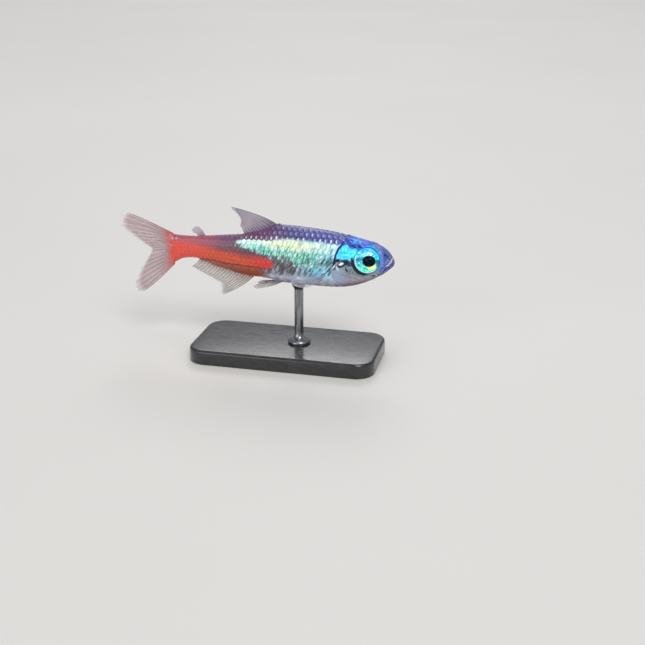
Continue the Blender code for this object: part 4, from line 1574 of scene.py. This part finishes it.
def ringBody(rings, around):
    # a closed body from rings of points, with a fan over its first and its last ring
    verts = np.concatenate([rings.reshape(-1, 3), [rings[0].mean(0)], [rings[-1].mean(0)]])
    faces = gridFaces(len(rings), around, closed=True)
    faces += fanFaces(around, 0, len(verts) - 2, turned=True)
    faces += fanFaces(around, (len(rings) - 1) * around, len(verts) - 1)
    return verts, faces


def arch(radius, depth, start, end, steps):
    # half an oval's outline, from its front middle round to the back
    turns = np.linspace(start, end, steps)
    return [(radius * math.sin(turn) + 1e-6, depth * math.cos(turn)) for turn in turns]


def buildEye(side, name, materials):
    radius, around = eyePlace["radius"], eyeLook["around"]
    centre, axes = eyeFrame(side)

    def add(part, verts, faces, material, replaces=()):
        fields = {"eyePlace": verts / radius}
        addPiece(f"{part}{name}", verts @ axes + centre, faces, material, replaces, fields, sharp=70)

    # the wall of the eyeball, from the middle of its back out to its edge and over the front rim
    wall = arch(radius, -eyePlace["bowl"], 0, math.pi / 2, 18)[1:]
    wall += [(radius * out, eyeLook["wallRimHeight"] * high) for out, high in eyeLook["wallRim"]]
    verts, faces = ringBody(lathe(wall[::-1], around), around)
    add("eyeWall", verts, faces, materials["wall"], (f"eye_{name.lower()}",))

    # the iris: a ring that rises from the rim, dips at its collar, and rolls in at the pupil
    wide, tall = eyeLook["pupil"]
    shiftX, shiftY = eyeLook["pupilShift"]
    outer = radius * eyeLook["irisOuter"]
    turn = np.arange(around) * 2 * math.pi / around
    inward = np.concatenate([np.linspace(0, 1, 40), [1.02, 1.03, 1.03]])[:, None]
    x = (1 - inward) * outer * np.cos(turn) + inward * (shiftX + wide * np.cos(turn))
    y = (1 - inward) * outer * np.sin(turn) + inward * (shiftY + tall * np.sin(turn))
    z = eyeLook["irisDome"] * np.sqrt(np.clip(1 - (np.hypot(x, y) / radius) ** 2, 0, 1))
    z += eyeLook["irisWave"] * np.sin(inward * 9)
    z -= eyeLook["collar"] * (bump(inward, 0.62, 0.10) + fade(inward, 0.95, 1.0))
    z -= eyeLook["rollIn"] * np.maximum(inward - 1, 0) / 0.03
    rings = np.stack([x, y, z], -1)
    below = rings[::-1] - np.array([0, 0, eyeLook["irisThickness"]])
    shell = np.concatenate([rings, below])
    faces = gridFaces(len(shell), around, closed=True)
    last = (len(shell) - 1) * around
    faces += [(last + i, last + (i + 1) % around, (i + 1) % around, i) for i in range(around)]
    add("iris", shell.reshape(-1, 3), faces, materials["iris"])

    # the dark lens stands a little out of the pupil
    lensRadius, lensDepth, lensOut = eyeLook["lens"]
    lens = [(r, z + lensOut) for r, z in arch(lensRadius, lensDepth, 0.02, math.pi - 0.02, 40)]
    rings = lathe(lens, around, eyeLook["pupilShift"], eyeLook["lensStretch"])
    verts, faces = ringBody(rings, around)
    add("lens", verts, faces, materials["lens"])

    # the clear front
    shape = arch(radius * eyeLook["corneaOuter"], eyePlace["dome"], 0.02, math.pi / 2, 28)
    inner = [(r * eyeLook["corneaInner"], z - eyeLook["corneaWall"]) for r, z in shape[::-1]]
    verts, faces = ringBody(lathe(shape + inner, around), around)
    add("cornea", verts, faces, materials["cornea"])


# materials of the fins

# clear: how solid a fin is near its root, and far out
finColours = {
    "dorsal": {
        "root": paint(104, 82, 116), "web": paint(140, 120, 146),
        "edge": paint(200, 192, 208), "ray": paint(100, 84, 114), "clear": (0.66, 0.34),
    },
    "tail": {
        "root": paint(216, 92, 86), "web": paint(178, 142, 146),
        "edge": paint(236, 232, 236), "ray": paint(156, 122, 128), "clear": (0.62, 0.38),
    },
    "anal": {
        "root": paint(170, 120, 104), "web": paint(170, 156, 146),
        "edge": paint(226, 220, 208), "ray": paint(132, 112, 100), "clear": (0.52, 0.28),
    },
    "pelvic": {
        "root": paint(160, 150, 160), "web": paint(176, 166, 166),
        "edge": paint(226, 222, 222), "ray": paint(138, 126, 134), "clear": (0.42, 0.26),
    },
    "pectoral": {
        "root": paint(206, 206, 224), "web": paint(218, 222, 236),
        "edge": paint(240, 240, 246), "ray": paint(190, 192, 214), "clear": (0.26, 0.10),
    },
}


def flecksGroup():
    # fine dark dots and soft clouds, as in living skin
    bench, given, out = newGroup(
        "skinFlecks",
        {"Grain": "Vector", "Amount": "Float"},
        {"Dots": "Float", "Clouds": "Float"},
    )
    dots = bench.add("TexVoronoi", {"Vector": given["Grain"], "Scale": 5.5}, "Distance", feature="F1")
    sparse = bench.noise(given["Grain"], 1.7).fade(0.42, 0.62)
    bench.feed(out, {
        "Dots": dots.fade(0.34, 0.12) * sparse * given["Amount"],
        "Clouds": bench.noise(given["Grain"], 0.8, 4.0, 0.5),
    })
    return bench.tree


flecksTree = flecksGroup()


def finMaterial(name, colours, rayShare):
    material, bench, shader = newMaterial(name, Roughness=0.30, Coat_Weight=0.25, Coat_Roughness=0.10)
    _, t, between = bench.split(bench.field("finPlace"))
    grain = bench.vector("MULTIPLY", objectPlace(bench), (1000.0, 1000.0, 1000.0))
    flecks = useGroup(bench, flecksTree, {"Grain": grain, "Amount": 1.0})
    colour = bench.layers(
        colours["root"],
        (t.fade(0.0, 0.30), colours["ray"] if rayShare else colours["web"]),
        (t.fade(0.84, 0.99), colours["edge"]),
    )
    darker = bench.mix(1.0, colour, (0.55, 0.50, 0.58), "MULTIPLY")
    colour = bench.layers(
        colour,
        (flecks["Clouds"].fade(0.35, 0.65, 0.0, 0.35), darker),
        (flecks["Dots"] * 0.7, colours["ray"]),
    )
    # how solid it is: less out along the ray, and more at its edge, in dots and on the rays
    near, far = colours["clear"]
    solid = t.fade(0.0, 0.55, near, far) + t.fade(0.90, 1.0, 0.0, 0.16) + flecks["Dots"] * 0.25
    solid = solid + (rayShare or between.fade(0.0, 0.6, 0.08, 0.0))
    fine = bench.noise(bench.vector("MULTIPLY", grain, (6.0, 6.0, 6.0)), 1.0)
    bench.feed(shader, {
        "Base Color": colour,
        "Alpha": bench.maths("MINIMUM", solid, 0.92),
        "Normal": bench.relief(fine, 0.35, 0.02 * mm),
    })
    return material


# stand

stand = {
    "centreX": 4.5 * mm,
    "length": 25.0 * mm,
    "width": 12.0 * mm,
    "height": 2.0 * mm,
    "corner": 2.5 * mm,
    "edge": 0.4 * mm,
    "lowEdge": 0.12 * mm,
    "rodAlong": 0.42,
    "rodSides": 64,
    "shaftSteps": 12,
    # the rod's outline in millimetres: radius, and height over the plate or, for the cup, over the belly
    "foot": (
        (1.40, -0.05), (1.50, 0.10), (1.50, 0.32), (1.46, 0.42), (1.34, 0.52),
        (1.20, 0.62), (0.94, 0.72), (0.78, 0.86), (0.66, 1.06), (0.60, 1.30),
    ),
    "cup": (
        (0.60, -0.80), (0.63, -0.62), (0.76, -0.40), (0.90, -0.16),
        (0.94, -0.02), (0.90, 0.10), (0.30, 0.12),
    ),
    "black": paint(22, 23, 26),
    "worn": paint(74, 75, 80),
    "steel": paint(196, 198, 202),
    "steelDark": paint(120, 122, 128),
}


def grainGroup():
    # fine scratches and dust for the stand's two finishes
    bench, given, out = newGroup(
        "fineWear",
        {"Place": "Vector", "Stretch": "Vector"},
        {"Scratches": "Float", "Dust": "Float"},
    )
    drawn = bench.vector("MULTIPLY", given["Place"], given["Stretch"])
    bench.feed(out, {
        "Scratches": bench.noise(drawn, 1000.0, 3.0, 0.2),
        "Dust": bench.noise(given["Place"], 5200.0, 1.0).fade(0.60, 0.74),
    })
    return bench.tree


grainTree = grainGroup()


def standMaterial(name, dark, light, metallic, rough, stretch):
    lacquer = 0.0 if metallic else 0.5
    material, bench, shader = newMaterial(name, Metallic=metallic, Coat_Weight=lacquer, Coat_Roughness=0.15)
    wear = useGroup(bench, grainTree, {"Place": objectPlace(bench), "Stretch": stretch})
    scratches = wear["Scratches"]
    bench.feed(shader, {
        "Base Color": bench.layers(
            dark,
            (scratches.fade(0.35, 0.70) * (0.55 if metallic else 0.16), light),
            (wear["Dust"] * 0.25, light),
        ),
        "Roughness": scratches.fade(0.3, 0.7, rough - 0.07, rough + 0.09),
        "Normal": bench.relief(scratches, 0.10 if metallic else 0.06, 0.02 * mm),
    })
    return material


def buildStand():
    shape = bmesh.new()
    plate, edge = stand["height"], stand["edge"]
    size = Matrix.Diagonal((stand["length"], stand["width"], plate, 1))
    middle = Matrix.Translation((stand["centreX"], 0, plate / 2))
    bmesh.ops.create_cube(shape, size=1, matrix=middle @ size)

    def rounded(chosen, offset, segments):
        edges = [e for e in shape.edges if chosen(*sorted(v.co.z for v in e.verts))]
        bmesh.ops.bevel(shape, geom=edges, offset=offset, segments=segments, profile=0.5, affect="EDGES")

    rounded(lambda low, high: high - low > edge, stand["corner"], 24)
    rounded(lambda low, high: low > plate - edge / 2, edge, 8)
    rounded(lambda low, high: high < edge / 4, stand["lowEdge"], 3)
    mesh = bpy.data.meshes.new("standBase")
    shape.to_mesh(mesh)
    shape.free()
    lacquer = standMaterial("blackLacquer", stand["black"], stand["worn"], 0.0, 0.30, (0.5, 2.2, 2.2))
    finishPiece("standBase", mesh, lacquer, ("stand_base",), 30)

    # the rod stands in its foot, sinks a little into the plate, and holds the fish in a thin cup
    x = float(at(stand["rodAlong"]).x)
    belly = float(bodyPoint(stand["rodAlong"], -math.pi / 2)[2])
    foot = [(r * mm, plate + z * mm) for r, z in stand["foot"]]
    cup = [(r * mm, belly + z * mm) for r, z in stand["cup"]]
    steps = stand["shaftSteps"]
    low, high = foot[-1][1], cup[0][1]
    shaft = [(cup[0][0], low + (high - low) * k / steps) for k in range(1, steps)]
    outline = lathe(foot + shaft + cup, stand["rodSides"]) + np.array([x, 0, 0])
    verts, faces = ringBody(outline, stand["rodSides"])
    steel = standMaterial("brushedSteel", stand["steelDark"], stand["steel"], 1.0, 0.26, (6.0, 6.0, 0.5))
    addPiece("standRod", verts, faces, steel, ("stand_rod",), sharp=40)


# assembling

print("skin")
buildSkin(skinMaterial())

print("coat of scales")
scales = coatMaterial()
buildCoat("coatRight", -1, scales, 11)
buildCoat("coatLeft", 1, scales, 23)

print("eyes")
eyeMaterials = {
    "wall": scleraMaterial(),
    "iris": irisMaterial(),
    "lens": lensMaterial(),
    "cornea": corneaMaterial(),
}
buildEye(-1, "Right", eyeMaterials)
buildEye(1, "Left", eyeMaterials)

print("fins")
tailPlans = [(tailPlan(tailUpper), (0, 1)), (tailPlan(tailLower), (1, 0))]
finParts = [
    ("dorsal", "dorsal", [(uprightPlan(dorsalFin, 1), (0, 1))], ("dorsal_fin",)),
    ("anal", "anal", [(uprightPlan(analFin, -1), (0, 1))], ("anal_fin",)),
    ("tail", "tail", tailPlans, ("tail_fin_upper", "tail_fin_lower")),
]
for side, name in ((-1, "Right"), (1, "Left")):
    for kind, fin in (("pectoral", pectoralFin), ("pelvic", pelvicFin)):
        plans = [(pairedPlan(fin, side), (0, 1))]
        finParts.append((f"{kind}{name}", kind, plans, (f"{kind}_fin_{name.lower()}",)))
webs = {kind: finMaterial(f"{kind}Web", colours, 0.0) for kind, colours in finColours.items()}
rayPaints = {kind: finMaterial(f"{kind}Rays", colours, 0.20) for kind, colours in finColours.items()}
for name, kind, plans, nodes in finParts:
    buildWeb(f"{name}Web", plans, webs[kind], nodes)
    buildRays(f"{name}Rays", plans, rayPaints[kind])
buildWeb("adiposeWeb", [(uprightPlan(adiposeFin, 1), (0, 1))], webs["dorsal"], ("adipose_fin",))

print("stand")
buildStand()


# studio

studio = {
    "floor": paint(226, 224, 220),
    "floorShade": paint(216, 214, 210),
    "above": paint(236, 238, 244),
    "around": paint(188, 189, 193),
    "horizon": paint(174, 173, 173),  # as bright as the floor far away, so that hardly any horizon shows
    "backdrop": paint(206, 205, 203),
    "worldStrength": 0.50,
    "floorRadius": 9.0,
    "floorSides": 96,
    "target": (0.002, 0, 0.013),
    # place in metres, size, watts, colour
    "lights": (
        ("keyLight", (0.62, -1.02, 1.20), 0.70, 12.5, (1.0, 0.975, 0.94)),
        ("fillLight", (-0.70, -1.20, 0.28), 1.00, 6.0, (0.95, 0.97, 1.0)),
        ("rimLight", (-0.25, 1.20, 1.05), 0.80, 5.5, (1.0, 1.0, 1.0)),
        ("topLight", (0.10, -0.10, 1.40), 0.60, 2.5, (1.0, 1.0, 1.0)),
    ),
}


def buildStudio():
    material, bench, shader = newMaterial("paleFloor", Roughness=0.62)
    clouds = bench.noise(objectPlace(bench), 9.0, 4.0)
    bench.feed(shader, {"Base Color": bench.mix(clouds, studio["floor"], studio["floorShade"])})
    mesh = bpy.data.meshes.new("floor")
    sides = studio["floorSides"]
    rim = lathe([(studio["floorRadius"], 0.0)], sides)[0]
    mesh.from_pydata(rim.tolist(), [], [tuple(range(sides))])
    mesh.materials.append(material)
    floor = bpy.data.objects.new("floor", mesh)
    bpy.context.scene.collection.objects.link(floor)

    world = bpy.data.worlds.new("softStudio")
    world.use_nodes = True
    bench = NodeBench(world.node_tree)
    _, _, upward = bench.split(bench.add("TexCoord", out="Generated"))
    # the light from round about, and the paler backdrop that is seen behind the model
    soft = bench.mix(upward.fade(-0.1, 0.7), studio["around"], studio["above"])
    backdrop = bench.mix(upward.fade(-0.02, 0.18), studio["horizon"], studio["backdrop"])
    seen = bench.add("LightPath", out="Is Camera Ray")
    strength = studio["worldStrength"]
    bench.feed(world.node_tree.nodes["Background"].inputs, {
        "Color": bench.mix(seen, soft, backdrop),
        "Strength": bench.maths("MULTIPLY_ADD", seen, 1 - strength, strength),
    })
    bpy.context.scene.world = world

    target = Vector(studio["target"])
    for name, place, size, watts, colour in studio["lights"]:
        lamp = bpy.data.lights.new(name, "AREA")
        lamp.shape = "DISK"
        lamp.size, lamp.energy, lamp.color = size, watts, colour
        light = bpy.data.objects.new(name, lamp)
        light.location = place
        light.rotation_euler = (target - Vector(place)).to_track_quat("-Z", "Y").to_euler()
        bpy.context.scene.collection.objects.link(light)
    bpy.context.scene.view_settings.view_transform = "Standard"


view = {
    "place": (39.5 * mm, -128.01 * mm, 55.31 * mm),
    "azimuth": 13.3,
    "down": 20.9,
    "lens": 59.55,
    "sensor": 36.0,
    "clip": (0.002, 20.0),
}


def buildCamera():
    data = bpy.data.cameras.new("camera")
    data.lens, data.sensor_width = view["lens"], view["sensor"]
    data.clip_start, data.clip_end = view["clip"]
    camera = bpy.data.objects.new("camera", data)
    camera.location = view["place"]
    camera.rotation_euler = (math.radians(90 - view["down"]), 0, math.radians(view["azimuth"]))
    bpy.context.scene.collection.objects.link(camera)
    bpy.context.scene.camera = camera


print("studio")
buildStudio()
buildCamera()
